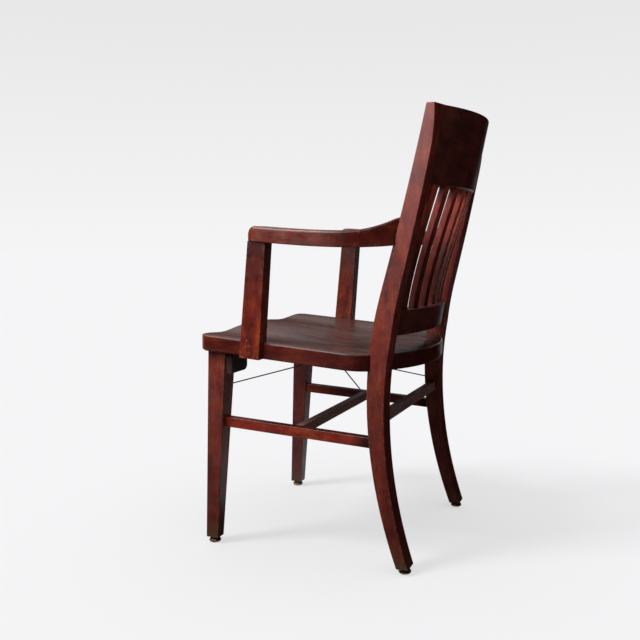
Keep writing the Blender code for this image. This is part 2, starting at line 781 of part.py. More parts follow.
def leg_mesh():
    """Tapered front leg, its top cut to the seat's underside."""
    bm = bmesh.new()
    bmesh.ops.create_cube(bm, size=2.0)
    for vert in bm.verts:
        outer, rear, upper = (value > 0 for value in vert.co)
        z = LEG_TOP_Z if upper else GLIDE_HEIGHT
        vert.co.x = leg_outer_x(z) if outer else leg_inner_x(z)
        vert.co.y = leg_rear_y(z) if rear else leg_front_y(z)
        vert.co.z = seat_bottom_z(vert.co.y) - FIT if upper else GLIDE_HEIGHT
    return finished(bm, "leg")


def leg_tenon(grow=0.0):
    """Round tenon on the front leg, in the seat."""
    x = (leg_outer_x(LEG_TOP_Z) + leg_inner_x(LEG_TOP_Z)) / 2
    y = (leg_front_y(LEG_TOP_Z) + leg_rear_y(LEG_TOP_Z)) / 2
    low = seat_bottom_z(y) - LEG_TENON_LENGTH
    high = seat_bottom_z(y) + LEG_TENON_LENGTH + grow
    return rod((x, y, low), (x, y, high), LEG_TENON_RADIUS + grow)


def arm_mesh():
    """Sawn arm: sections along its length, with a rounded nose and an end that fits the post."""
    nose = [(ARM_NOSE * (1 - math.sin(angle)), ARM_NOSE * (1 - math.cos(angle)))
            for angle in steps_between(0, math.pi / 2, 3)]
    stations = [(ARM_FRONT_Y + back, inset) for inset, back in nose]
    body = steps_between(ARM_FRONT_Y + ARM_NOSE, ARM_FRONT_Y + ARM_LENGTH, PROFILE_STEPS + 1)
    stations += [(y, 0.0) for y in body[1:]]
    rings = []
    for y, inset in stations:
        side = inset * ARM_NOSE_SIDE / ARM_NOSE
        section = rounded_section(arm_inner_x(y) + side, arm_outer_x(y) - side,
                                  arm_bottom_z(y) + side, arm_top_z(y) - inset, ARM_EDGE)
        rings.append([(x, y, z) for x, z in section])
    rings[-1] = [(x, arm_rear_y(z), z) for x, y, z in rings[-1]]
    return loft(rings)


def arm_tenon(grow=0.0):
    """Tenon of the arm, in the rear post's front face."""
    end = ARM_FRONT_Y + ARM_LENGTH
    x = (arm_outer_x(end) + arm_inner_x(end)) / 2
    z = (arm_top_z(end) + arm_bottom_z(end)) / 2
    width, length, height = ARM_TENON
    centre = (x, post_front_y(z), z)
    return block(centre, (width, 2 * length, height), grow)


def arm_post_mesh(grow=0.0, above=0.0):
    """Arm post, flush with the seat's underside and cut to the arm's underside."""
    low = SEAT_HEIGHT - SEAT_THICK
    high = ARM_TOP_Z - ARM_FRONT_THICK

    def foot(y):
        return seat_bottom_z(y) - grow

    def head(y):
        return arm_bottom_z(y) - FIT + above

    rings = []
    for z, face in ((low, foot), (high, head)):
        front = arm_post_front_y(z) - grow
        section = rounded_section(ARM_POST_INNER_X - grow, ARM_POST_OUTER_X + grow,
                                  front, front + arm_post_depth(z) + 2 * grow, ARM_POST_EDGE)
        rings.append([(x, y, face(y)) for x, y in section])
    return loft(rings)


def arm_dowel(grow=0.0):
    """Round tenon on the arm post, in the arm."""
    z = ARM_TOP_Z - ARM_FRONT_THICK
    x = (ARM_POST_INNER_X + ARM_POST_OUTER_X) / 2
    y = arm_post_front_y(z) + arm_post_depth(z) / 2
    low = arm_bottom_z(y) - ARM_DOWEL_LENGTH
    high = arm_bottom_z(y) + ARM_DOWEL_LENGTH + grow
    return rod((x, y, low), (x, y, high), ARM_DOWEL_RADIUS + grow)


def side_stretcher_mesh():
    """Bar from the front leg to the rear post, its ends cut to their faces."""
    half = SIDE_STRETCHER_HEIGHT / 2
    section = rounded_section(SIDE_STRETCHER_INNER_X, SIDE_STRETCHER_INNER_X + SIDE_STRETCHER_THICK,
                              -half, half, STRETCHER_EDGE, 1)
    front = [(x, SIDE_STRETCHER_FRONT_Z + offset) for x, offset in section]
    rear = [(x, SIDE_STRETCHER_REAR_Z + offset) for x, offset in section]
    return loft([[(x, leg_rear_y(z) + FIT, z) for x, z in front],
                 [(x, post_front_y(z) - FIT, z) for x, z in rear]])


def side_stretcher_tenons(grow=0.0):
    size = (STRETCHER_TENON_THICK, 2 * STRETCHER_TENON_LENGTH, STRETCHER_TENON_HEIGHT)
    front = (SIDE_STRETCHER_X, leg_rear_y(SIDE_STRETCHER_FRONT_Z), SIDE_STRETCHER_FRONT_Z)
    rear = (SIDE_STRETCHER_X, post_front_y(SIDE_STRETCHER_REAR_Z), SIDE_STRETCHER_REAR_Z)
    return block(front, size, grow), block(rear, size, grow)


def cross_bar_mesh(y, z, end_x):
    """Bar along X whose ends lie at end_x for each height."""
    half_y = CROSS_BAR_THICK / 2
    half_z = CROSS_BAR_HEIGHT / 2
    section = rounded_section(y - half_y, y + half_y, z - half_z, z + half_z, STRETCHER_EDGE, 1)
    right = [(-end_x(v) + FIT, u, v) for u, v in section]
    left = [(end_x(v) - FIT, u, v) for u, v in section]
    return loft([right, left])


def cross_tenon(y, z, end_x, length, grow=0.0):
    """Tenon on the left end of a bar along X."""
    size = (2 * length, STRETCHER_TENON_THICK, STRETCHER_TENON_HEIGHT)
    return block((end_x(z), y, z), size, grow)


def stretcher_inner_x(z):
    """Inner face of the side stretchers, the same at every height."""
    return SIDE_STRETCHER_INNER_X


def rear_stretcher_y():
    return (post_front_y(REAR_STRETCHER_Z) + post_rear_y(REAR_STRETCHER_Z)) / 2


CROSS_BAR = (CROSS_Y, side_stretcher_z(CROSS_Y), stretcher_inner_x)
REAR_BAR = (rear_stretcher_y(), REAR_STRETCHER_Z, post_inner_x)


# Corner blocks

BLOCK_OUTER_X = leg_outer_x(LEG_TOP_Z) - BLOCK_INSET
BLOCK_FRONT_Y = leg_rear_y(seat_bottom_z(leg_rear_y(LEG_TOP_Z))) + FIT
BLOCK_TOP_Z = seat_bottom_z(BLOCK_FRONT_Y + BLOCK_THICK) - FIT


def corner_block_mesh():
    """Block glued behind the leg, with its lower inner corner rounded."""
    low = BLOCK_TOP_Z - BLOCK_HEIGHT
    inner = BLOCK_OUTER_X - BLOCK_LENGTH
    outline = [(BLOCK_OUTER_X, BLOCK_TOP_Z), (inner, BLOCK_TOP_Z)]
    outline += arc_points(inner + BLOCK_CORNER, low + BLOCK_CORNER, BLOCK_CORNER, 180, 270, 5)
    outline.append((BLOCK_OUTER_X, low))
    place = Matrix(((1, 0, 0, 0), (0, 0, -1, BLOCK_FRONT_Y + BLOCK_THICK / 2), (0, 1, 0, 0), (0, 0, 0, 1)))
    return extruded_outline(outline, BLOCK_THICK, place)


# Fasteners

def screw_mesh(head, tip, grow=0.0):
    """Screw with a flat head at head and its point at tip. Grown, it is the hole for that screw."""
    head, tip = Vector(head), Vector(tip)
    length = (tip - head).length
    head_radius = SCREW_HEAD_RADIUS + grow
    radius = SCREW_RADIUS + grow
    under = -SCREW_HEAD_HEIGHT - grow
    point = -length - grow
    profile = [(0, grow), (head_radius, grow), (head_radius, under)]
    profile += [(radius, under), (radius, point), (0, point)]
    turn = (head - tip).to_track_quat("Z", "Y").to_matrix().to_4x4()
    return moved(turned(profile, SMALL_SIDES), Matrix.Translation(head) @ turn)


def arm_screw_places():
    """Middle of each plug's outer face, on the left arm post."""
    low = SEAT_HEIGHT - SEAT_THICK
    y = arm_post_front_y(low) + arm_post_depth(low) / 2
    middle = seat_top_z(y) - SEAT_THICK / 2
    half = ARM_SCREW_SPACING / 2
    return [(ARM_POST_OUTER_X, y, middle + offset) for offset in (-half, half)]


def arm_screws(grow=0.0):
    made = []
    for x, y, z in arm_screw_places():
        head = x - PLUG_LENGTH - 2 * FIT
        made.append(screw_mesh((head, y, z), (ARM_POST_INNER_X - SCREW_BITE, y, z), grow))
    return made


def arm_plugs(grow=0.0):
    return [rod((x + 2 * grow, y, z), (x - PLUG_LENGTH - grow, y, z), PLUG_RADIUS + grow, SMALL_SIDES)
            for x, y, z in arm_screw_places()]


def block_screws(grow=0.0):
    low = BLOCK_TOP_Z - BLOCK_HEIGHT
    y = BLOCK_FRONT_Y + BLOCK_THICK / 2
    middle = BLOCK_OUTER_X - BLOCK_LENGTH / 2
    made = []
    for x in (middle - BLOCK_SCREW_SPACING / 2, middle + BLOCK_SCREW_SPACING / 2):
        made.append(screw_mesh((x, y, low + FIT), (x, y, BLOCK_TOP_Z + SCREW_BITE), grow))
    return made


def seat_dowels(grow=0.0):
    """Dowels between the rear post's inner face and the seat."""
    y = post_front_y(seat_bottom_z(WAIST_Y)) + POST_SEAT_DEPTH * DOWEL_PLACE
    middle = seat_top_z(y) - SEAT_THICK / 2
    made = []
    for z in (middle - DOWEL_SPACING / 2, middle + DOWEL_SPACING / 2):
        x = post_inner_x(z)
        reach = DOWEL_HALF_LENGTH + grow
        made.append(rod((x - reach, y, z), (x + reach, y, z), DOWEL_RADIUS + grow, SMALL_SIDES))
    return made


# Wire bracing

HUB_TOP = (0, HUB_Y, seat_bottom_z(HUB_Y) - FIT)
HUB_PLACE = Matrix.Translation(HUB_TOP) @ Matrix.Rotation(-SEAT_TILT, 4, "X")


def hub_mesh():
    """Turned steel hub: flange on the seat, neck, and a plate for the wires' hooks."""
    bore = SCREW_RADIUS + FIT
    flange = HUB_NECK_RADIUS * 2
    profile = [(bore, 0), (flange, 0), (flange, -HUB_PLATE_THICK), (HUB_NECK_RADIUS, -HUB_PLATE_THICK),
               (HUB_NECK_RADIUS, HUB_PLATE_THICK - HUB_DROP), (HUB_PLATE_RADIUS, HUB_PLATE_THICK - HUB_DROP),
               (HUB_PLATE_RADIUS, -HUB_DROP), (bore, -HUB_DROP)]
    return moved(turned(profile, ROUND_SIDES, closed=True), HUB_PLACE)


def hub_screw_mesh(grow=0.0):
    head = HUB_PLACE @ Vector((0, 0, -HUB_DROP - SCREW_HEAD_HEIGHT - FIT))
    tip = HUB_PLACE @ Vector((0, 0, SCREW_BITE))
    return screw_mesh(head, tip, grow)


def wire_anchor(front):
    """Where a wire enters the left leg or post, on its inner corner."""
    if front:
        return Vector((leg_inner_x(WIRE_FRONT_Z), leg_rear_y(WIRE_FRONT_Z), WIRE_FRONT_Z))
    return Vector((post_inner_x(WIRE_REAR_Z), post_front_y(WIRE_REAR_Z), WIRE_REAR_Z))


def wire_points(front):
    """Left wire from inside the leg to the hook that stands up through the hub's plate."""
    anchor = wire_anchor(front)
    local = HUB_PLACE.inverted() @ anchor
    outward = Vector((local.x, local.y, 0)).normalized()
    upward = Vector((0, 0, 1))
    hook = outward * HUB_HOOK_RADIUS
    bend_z = -HUB_DROP - WIRE_RADIUS
    points = [hook + upward * (HUB_PLATE_THICK - HUB_DROP + HOOK_STUB)]
    for angle in steps_between(0, math.pi / 2, 4):
        points.append(hook + outward * WIRE_BEND * (1 - math.cos(angle))
                      + upward * (bend_z - WIRE_BEND * math.sin(angle)))
    points = [HUB_PLACE @ point for point in points]
    points.append(anchor + (anchor - points[-1]).normalized() * WIRE_SOCKET)
    return points


def wire_socket(front):
    """Drilled hole for a wire's end in the left leg or post."""
    points = wire_points(front)
    tip = points[-1]
    along = (tip - points[-2]).normalized()
    return rod(tip + along * FIT, tip - along * WIRE_SOCKET * 3, WIRE_RADIUS + FIT, SMALL_SIDES)


def hook_hole(front):
    """Hole in the hub's plate for a left wire's hook."""
    top, below = wire_points(front)[:2]
    along = (top - below).normalized()
    return rod(top + along * FIT, below - along * WIRE_RADIUS, WIRE_RADIUS + 2 * FIT, SMALL_SIDES)


# Glides

def glide_places():
    """Floor point under each leg, by name."""
    foot = GLIDE_HEIGHT
    front = ((leg_outer_x(foot) + leg_inner_x(foot)) / 2, (leg_front_y(foot) + leg_rear_y(foot)) / 2)
    rear = ((post_outer_x(foot) + post_inner_x(foot)) / 2, (post_front_y(foot) + post_rear_y(foot)) / 2)
    places = {}
    for name, side in SIDES.items():
        places["front_" + name] = Vector((side * front[0], front[1], 0))
        places["rear_" + name] = Vector((side * rear[0], rear[1], 0))
    return places


def glide_base_mesh():
    """Domed metal glide with its nail."""
    nail = GLIDE_HEIGHT + GLIDE_NAIL_LENGTH
    swell = GLIDE_RADIUS - GLIDE_SOLE_RADIUS
    rise = GLIDE_BASE_HEIGHT * GLIDE_DOME
    turns = steps_between(math.pi / 2, 0, 3)
    dome = [(GLIDE_SOLE_RADIUS + swell * math.sin(turn), rise * (1 - math.cos(turn))) for turn in turns]
    rim = GLIDE_BASE_HEIGHT - FIT
    profile = [(0, nail), (GLIDE_NAIL_RADIUS, nail - GLIDE_NAIL_RADIUS), (GLIDE_NAIL_RADIUS, rim),
               (GLIDE_CUSHION_RADIUS, rim)] + dome + [(0, 0)]
    return turned(profile, ROUND_SIDES)


def glide_cushion_mesh():
    """Rubber washer between the glide and the leg."""
    bore = GLIDE_NAIL_RADIUS + FIT
    low = GLIDE_BASE_HEIGHT
    high = GLIDE_HEIGHT - FIT
    profile = [(bore, high), (GLIDE_CUSHION_RADIUS, high), (GLIDE_CUSHION_RADIUS, low), (bore, low)]
    return turned(profile, ROUND_SIDES, closed=True)


def nail_hole(place):
    top = GLIDE_HEIGHT + GLIDE_NAIL_LENGTH + FIT
    return rod(place - Vector((0, 0, FIT)), place + Vector((0, 0, top)), GLIDE_NAIL_RADIUS + FIT, SMALL_SIDES)


# Assembly

def build_posts(shop):
    crest_middle = (CREST_BOTTOM_Z + OVERALL_HEIGHT) / 2
    rail_middle = (LOWER_RAIL_BOTTOM_Z + LOWER_RAIL_TOP_Z) / 2
    for name, side in SIDES.items():
        post = shop.part(name + "_rear_post", on_side(post_mesh(), side), RED_STAIN)
        add_bevel(post, POST_EDGE)
        sockets = [rail_tenon(LEFT, crest_middle, CREST_TENON_HEIGHT, crest_end_thick, FIT),
                   rail_tenon(LEFT, rail_middle, LOWER_RAIL_TENON_HEIGHT, lower_rail_end_thick, FIT),
                   arm_tenon(FIT), side_stretcher_tenons(FIT)[1],
                   cross_tenon(*REAR_BAR, STRETCHER_TENON_LENGTH, FIT),
                   wire_socket(front=False), nail_hole(glide_places()["rear_left"]), *seat_dowels(FIT)]
        cut(post, shop.cutter(name + "_post_sockets", on_side(joined(*sockets), side)))


def build_back(shop):
    slots = [slat_mesh(index, FIT) for index in range(SLAT_COUNT)]
    slat_slots = shop.cutter("slat_slots", *slots)
    for name, bottom, top, height, end_thick in (
            ("crest_rail", CREST_BOTTOM_Z, OVERALL_HEIGHT, CREST_TENON_HEIGHT, crest_end_thick),
            ("lower_back_rail", LOWER_RAIL_BOTTOM_Z, LOWER_RAIL_TOP_Z, LOWER_RAIL_TENON_HEIGHT,
             lower_rail_end_thick)):
        rail = shop.part(name, rail_mesh(bottom, top, end_thick), DARK_STAIN)
        middle = (bottom + top) / 2
        tenons = [rail_tenon(side, middle, height, end_thick) for side in SIDES.values()]
        fuse(rail, shop.cutter(name + "_tenons", *tenons))
        cut(rail, slat_slots)
    for index in range(SLAT_COUNT):
        slat = shop.part("back_slat_%d" % (index + 1), slat_mesh(index), RED_STAIN)
        add_bevel(slat, SLAT_EDGE)


def build_legs(shop):
    for name, side in SIDES.items():
        leg = shop.part(name + "_front_leg", on_side(leg_mesh(), side), RED_STAIN)
        add_bevel(leg, LEG_EDGE)
        fuse(leg, shop.cutter(name + "_leg_tenon", on_side(leg_tenon(), side)))
        sockets = joined(side_stretcher_tenons(FIT)[0], wire_socket(front=True),
                         nail_hole(glide_places()["front_left"]))
        cut(leg, shop.cutter(name + "_leg_sockets", on_side(sockets, side)))


def build_arms(shop):
    for name, side in SIDES.items():
        arm = shop.part(name + "_arm", on_side(arm_mesh(), side), RED_STAIN)
        fuse(arm, shop.cutter(name + "_arm_tenon", on_side(arm_tenon(), side)))
        cut(arm, shop.cutter(name + "_arm_socket", on_side(arm_dowel(FIT), side)))
        post = shop.part(name + "_arm_post", on_side(arm_post_mesh(), side), RED_STAIN)
        fuse(post, shop.cutter(name + "_arm_dowel", on_side(arm_dowel(), side)))
        holes = joined(*arm_screws(FIT))
        bores = joined(*arm_plugs(FIT))
        cut(post, shop.cutter(name + "_arm_post_holes", on_side(holes, side)))
        cut(post, shop.cutter(name + "_arm_post_bores", on_side(bores, side)))


def build_stretchers(shop):
    for name, side in SIDES.items():
        bar = shop.part(name + "_side_stretcher", on_side(side_stretcher_mesh(), side), RED_STAIN)
        fuse(bar, shop.cutter(name + "_stretcher_tenons", on_side(joined(*side_stretcher_tenons()), side)))
        socket = cross_tenon(*CROSS_BAR, CROSS_TENON_LENGTH, FIT)
        cut(bar, shop.cutter(name + "_stretcher_socket", on_side(socket, side)))
    for name, place, length in (("cross_stretcher", CROSS_BAR, CROSS_TENON_LENGTH),
                                ("rear_stretcher", REAR_BAR, STRETCHER_TENON_LENGTH)):
        bar = shop.part(name, cross_bar_mesh(*place), DARK_STAIN)
        tenons = [on_side(cross_tenon(*place, length), side) for side in SIDES.values()]
        fuse(bar, shop.cutter(name + "_tenons", *tenons))


def build_seat(shop):
    seat = shop.part("seat", seat_mesh(), SEAT_STAIN, 0.28)
    for name, side in SIDES.items():
        notch = on_side(post_mesh(FIT), side)
        housing = on_side(arm_post_mesh(FIT, above=FIT), side)
        cut(seat, shop.cutter(name + "_post_notch", notch))
        cut(seat, shop.cutter(name + "_arm_post_housing", housing))
        holes = [leg_tenon(FIT), *arm_screws(FIT), *block_screws(FIT), *seat_dowels(FIT)]
        cut(seat, shop.cutter(name + "_seat_sockets", on_side(joined(*holes), side)))
    cut(seat, shop.cutter("hub_screw_hole", hub_screw_mesh(FIT)))


def build_corner_blocks(shop):
    for name, side in SIDES.items():
        corner = shop.part(name + "_corner_block", on_side(corner_block_mesh(), side), BLOCK_WOOD, 0.6)
        cut(corner, shop.cutter(name + "_block_holes", on_side(joined(*block_screws(FIT)), side)))


def build_bracing(shop):
    hub = shop.part("brace_hub", hub_mesh(), STEEL, 0.45, 1.0)
    holes = []
    for name, side in SIDES.items():
        for end in ("front", "rear"):
            front = end == "front"
            wire = on_side(tube(wire_points(front), WIRE_RADIUS), side)
            shop.part("brace_wire_%s_%s" % (end, name), wire, STEEL, 0.45, 1.0)
            holes.append(on_side(hook_hole(front), side))
    cut(hub, shop.cutter("hook_holes", *holes))
    shop.part("hub_screw", hub_screw_mesh(), STEEL, 0.45, 1.0)


def build_glides(shop):
    for name, place in glide_places().items():
        lift = Matrix.Translation(place)
        shop.part("glide_base_" + name, moved(glide_base_mesh(), lift), GLIDE_METAL, 0.4, 1.0)
        shop.part("glide_cushion_" + name, moved(glide_cushion_mesh(), lift), RUBBER, 0.8)


def build_fasteners(shop):
    kinds = (("arm_post_screw", arm_screws, STEEL, 1.0), ("arm_post_plug", arm_plugs, DARK_STAIN, 0.0),
             ("corner_block_screw", block_screws, STEEL, 1.0), ("seat_dowel", seat_dowels, DOWEL_WOOD, 0.0))
    for kind, make, colour, metallic in kinds:
        for name, side in SIDES.items():
            for number, mesh in enumerate(make(), 1):
                shop.part("%s_%s_%d" % (name, kind, number), on_side(mesh, side), colour, 0.5, metallic)


def main():
    clear_scene()
    shop = Workshop()
    build_seat(shop)
    build_posts(shop)
    build_back(shop)
    build_legs(shop)
    build_arms(shop)
    build_stretchers(shop)
    build_corner_blocks(shop)
    build_bracing(shop)
    build_glides(shop)
    build_fasteners(shop)


main()
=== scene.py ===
"""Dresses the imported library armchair: finer pieces over its solids, worn finishes and a plain studio."""

import math

import bmesh
import bpy
from bpy.props import FloatProperty, FloatVectorProperty, IntProperty, PointerProperty
from mathutils import Matrix, Vector


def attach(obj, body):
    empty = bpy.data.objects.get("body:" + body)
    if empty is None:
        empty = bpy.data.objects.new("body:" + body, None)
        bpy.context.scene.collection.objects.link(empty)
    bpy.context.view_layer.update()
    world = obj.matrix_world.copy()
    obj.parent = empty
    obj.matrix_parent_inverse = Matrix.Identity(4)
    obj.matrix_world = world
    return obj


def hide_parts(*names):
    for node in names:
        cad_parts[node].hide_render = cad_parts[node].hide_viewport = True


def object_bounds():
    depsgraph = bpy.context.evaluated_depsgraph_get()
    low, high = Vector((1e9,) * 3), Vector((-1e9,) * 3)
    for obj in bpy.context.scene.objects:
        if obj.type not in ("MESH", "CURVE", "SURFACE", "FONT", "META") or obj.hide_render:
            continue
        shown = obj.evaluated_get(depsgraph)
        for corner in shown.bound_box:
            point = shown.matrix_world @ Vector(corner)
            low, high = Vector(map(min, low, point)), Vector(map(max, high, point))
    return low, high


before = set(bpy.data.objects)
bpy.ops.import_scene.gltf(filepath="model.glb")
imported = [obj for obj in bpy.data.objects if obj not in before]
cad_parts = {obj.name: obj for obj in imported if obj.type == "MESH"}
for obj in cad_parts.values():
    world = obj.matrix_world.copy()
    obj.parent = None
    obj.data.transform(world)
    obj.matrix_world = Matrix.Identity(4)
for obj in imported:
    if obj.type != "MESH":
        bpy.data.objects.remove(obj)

bl_info = {
    "name": "Library armchair",
    "version": (1, 0, 0),
    "blender": (4, 5, 0),
    "location": "View3D > Sidebar > Chair",
    "description": "Builds the looks of an all-wood library armchair over its packed solids",
    "category": "Object",
}

CAD_BOX = [list(corner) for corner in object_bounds()]
LEFT = 1
RIGHT = -1
SIDES = {"left": LEFT, "right": RIGHT}
ENDS = ("front", "rear")
QUARTER = math.pi / 2

# Wear marks on a mesh: full on a rounded edge, none on a flat
FULL_WEAR = 1.0
SHOULDER_WEAR = 0.35
SEAT_SHOULDER_WEAR = 0.3
CHAMFER_WEAR = 0.5
NOSE_WEAR = 0.6
CUT_END_WEAR = 0.8


# Settings

def number(name, default, description, **kind):
    return FloatProperty(name=name, description=description, default=default, **kind)


def length(name, default, description):
    return number(name, default, description, min=0.0, unit="LENGTH", precision=4)


def share(name, default, description):
    return number(name, default, description, min=0.0, max=1.0, subtype="FACTOR")


def angle(name, degrees, description):
    return number(name, math.radians(degrees), description, subtype="ANGLE")


def spot(name, default, description, subtype="TRANSLATION"):
    return FloatVectorProperty(name=name, description=description, default=default, subtype=subtype)


def linear(code):
    """Linear colour from an sRGB hex code."""
    parts = [int(code[i:i + 2], 16) / 255 for i in (0, 2, 4)]
    return tuple(c / 12.92 if c <= 0.04045 else ((c + 0.055) / 1.055) ** 2.4 for c in parts)


def tone(name, code, description):
    return FloatVectorProperty(name=name, description=description, default=linear(code), subtype="COLOR",
                               min=0.0, max=1.0)


class ChairSizes(bpy.types.PropertyGroup):
    """Sizes of the chair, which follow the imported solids."""

    fit: length("Fit", 0.0003, "Gap between two pieces that touch")
    height: length("Height", CAD_BOX[1][2], "Floor to the top of the posts")
    front_edge: number("Front edge", CAD_BOX[0][1], "Y of the middle of the seat's front edge", unit="LENGTH")
    seat_height: length("Seat height", 0.450, "Top of the front edge")
    seat_width: length("Seat width", 0.500, "Side to side")
    seat_depth: length("Seat depth", 0.440, "Front edge to rear edge")
    seat_thick: length("Seat thickness", 0.033, "Rim to underside")
    seat_tilt: angle("Seat tilt", 4, "Slope down to the rear")
    seat_bow: length("Front bow", 0.006, "How far the front edge bows out")
    seat_front_corner: length("Front corner", 0.020, "Corner radius in plan")
    seat_rear_corner: length("Rear corner", 0.060, "Corner radius in plan")
    seat_rear_radius: length("Rear radius", 0.390, "Radius of the rear edge in plan")
    seat_round: length("Top rounding", 0.0035, "Rounding of the seat's upper edge")
    seat_chamfer: length("Bottom chamfer", 0.003, "Broken lower edge")
    hollow_depth: length("Hip hollow", 0.011, "Depth of the hollow towards the rear")
    hollow_width: length("Hollow half width", 0.160, "Fade of the hollow to each side")
    hollow_place: share("Hollow place", 0.58, "Its middle, as a share of the seat's depth")
    hollow_length: share("Hollow half length", 0.25, "Fade to the front and rear, as a share of the depth")
    scoop_depth: length("Thigh scoops", 0.0065, "Depth of the scoops at the front edge")
    scoop_x: length("Scoop place", 0.150, "Scoop middle from the seat's middle")
    scoop_width: length("Scoop half width", 0.058, "Fade of a scoop to each side")
    scoop_length: share("Scoop length", 0.60, "Fade to the rear, as a share of the depth")
    pommel_rise: length("Pommel", 0.002, "Ridge between the scoops")
    pommel_width: length("Pommel half width", 0.060, "Fade of the ridge to each side")
    pommel_length: share("Pommel length", 0.30, "Fade to the rear, as a share of the depth")
    post_thick: length("Post thickness", 0.040, "Side to side")
    post_inset: length("Post foot inset", 0.0185, "Outer face at the floor, in from the seat's side")
    post_lean: number("Post lean", 0.0193, "Inward shift per metre")
    post_waist: length("Post waist", 0.350, "Height of the foremost point of the post")
    post_setback: length("Post setback", 0.0775, "Foremost point, ahead of the seat's rear edge")
    post_sweep: length("Foot sweep", 0.069, "How far the foot sweeps back")
    post_bend: length("Bend", 0.190, "From the waist to the straight back")
    back_slope: number("Back slope", 0.258, "Lean of the back per metre")
    post_ease_length: length("Ease length", 0.270, "Top stretch that eases upright")
    post_ease: length("Ease", 0.0073, "How far the top comes forward of the slope")
    post_foot_depth: length("Post depth, foot", 0.0235, "Front to rear")
    post_seat_depth: length("Post depth, seat", 0.0393, "Front to rear")
    post_top_depth: length("Post depth, top", 0.0255, "Front to rear, at the inner face")
    post_roll_length: length("Roll length", 0.090, "Top stretch whose outer rear edge rolls forward")
    post_roll: length("Roll", 0.010, "How far it rolls")
    post_edge: length("Post edge", 0.0015, "Rounding of the long edges")
    rail_end_thick: length("Lower rail end", 0.024, "Thickness at the posts")
    rail_mid_thick: length("Rail middle", 0.0432, "Thickness of both rails in the middle")
    back_radius: length("Back radius", 0.800, "Radius of the rails' fronts")
    rail_inset: length("Rail inset", 0.001, "Rail front behind the post's front")
    crest_height: length("Crest height", 0.1445, "Lower edge to top")
    rail_height: length("Lower rail height", 0.049, "Lower edge to top")
    rail_gap: length("Lower rail gap", 0.036, "Above the seat's rear edge")
    rail_edge: length("Rail edge", 0.002, "Rounding of the rails' edges")
    slat_count: IntProperty(name="Slats", description="Slats in the back", default=6, min=1)
    slat_width: length("Slat width", 0.023, "Side to side")
    slat_thick: length("Slat thickness", 0.0135, "Front to rear")
    slat_foot: length("Slat foot setback", 0.0105, "Behind the lower rail's front")
    slat_head: length("Slat head setback", 0.016, "Behind the crest's front")
    slat_bow: length("Slat bow", 0.0055, "How far a slat is bent forward between its ends")
    slat_bow_place: share("Slat bow place", 0.70, "Below 1 the bend lies in the lower half")
    slat_end_gap: share("Slat end gap", 0.334, "Gap beside a post, as a share of an even one")
    slat_crowding: share("Slat crowding", 0.0735, "How far an end slat stands in from even spacing")
    slat_edge: length("Slat edge", 0.0013, "Rounding of the long edges")
    slat_tenon: length("Slat tenon", 0.002, "How far each end runs into its rail")
    leg_top_width: length("Leg top width", 0.045, "Side to side")
    leg_top_depth: length("Leg top depth", 0.040, "Front to rear")
    leg_foot_width: length("Leg foot width", 0.025, "Side to side")
    leg_foot_depth: length("Leg foot depth", 0.028, "Front to rear")
    leg_inset_side: length("Leg side inset", 0.0165, "Top outer face, in from the seat's side")
    leg_inset_front: length("Leg front inset", 0.0125, "Top front face, behind the seat's front corner")
    leg_foot_in: length("Leg foot in", 0.008, "Foot outer face, in from the top's")
    leg_foot_ahead: length("Leg foot ahead", 0.0155, "Foot front face, ahead of the top's")
    leg_edge: length("Leg edge", 0.0014, "Rounding of the long edges")
    arm_rise: length("Arm rise", 0.220, "Arm top above the seat's front edge")
    arm_setback: length("Arm setback", 0.1325, "Arm's front end, behind the seat's front edge")
    arm_thick: length("Arm thickness", 0.030, "At the front end")
    arm_width: length("Arm width", 0.056, "At the front end")
    arm_rear_width: length("Arm rear width", 0.037, "At the post")
    arm_top_dip: length("Arm top dip", 0.0097, "How far the top falls to its lowest point")
    arm_top_low: share("Arm top low", 0.70, "Place of that point along the arm")
    arm_bottom_dip: length("Arm bottom dip", 0.0115, "How far the underside falls")
    arm_bottom_low: share("Arm bottom low", 0.75, "Place of its lowest point along the arm")
    arm_rear_rise: length("Arm rear rise", 0.0245, "How far the top rises again to the post")
    arm_rear_drop: length("Arm rear drop", 0.005, "How far the underside rises again to the post")
    arm_outer_bend: share("Arm outer bend", 0.50, "Where the outer side starts to turn in, along the arm")
    arm_inner_bend: share("Arm inner bend", 0.35, "Where the inner side starts to turn in, along the arm")
    arm_edge: length("Arm edge", 0.006, "Rounding of the upper edges")
    arm_lower_edge: length("Arm lower edge", 0.0018, "Rounding of the lower edges")
    arm_nose: length("Arm nose", 0.015, "Rounding of the front end's top")
    arm_nose_side: length("Arm nose side", 0.004, "Rounding of the front end's sides")
    arm_overhang: length("Arm overhang", 0.005, "Arm outside its post")
    arm_post_thick: length("Arm post thickness", 0.031, "Side to side")
    arm_post_housing: length("Arm post housing", 0.014, "Let into the seat's side")
    arm_post_setback: length("Arm post setback", 0.1088, "Bottom front edge, behind the seat's front edge")
    arm_post_low_depth: length("Arm post depth, seat", 0.043, "Front to rear")
    arm_post_high_depth: length("Arm post depth, arm", 0.038, "Front to rear")
    arm_post_lean: number("Arm post lean", 0.095, "Rearward shift per metre")
    arm_post_edge: length("Arm post edge", 0.0013, "Rounding of the long edges")
    stretcher_front: length("Side stretcher, front", 0.2632, "Middle height at the front leg")
    stretcher_rear: length("Side stretcher, rear", 0.2497, "Middle height at the rear post")
    stretcher_height: length("Side stretcher height", 0.0205, "Lower edge to top")
    stretcher_thick: length("Side stretcher thickness", 0.019, "Side to side")
    stretcher_setback: length("Side stretcher setback", 0.003, "Inner face, out from the leg's inner face")
    bar_height: length("Cross bar height", 0.020, "Lower edge to top")
    bar_thick: length("Cross bar thickness", 0.016, "Front to rear")
    cross_back: length("Cross stretcher place", 0.208, "Behind the seat's front edge")
    rear_bar_height: length("Rear stretcher place", 0.2955, "Middle height")
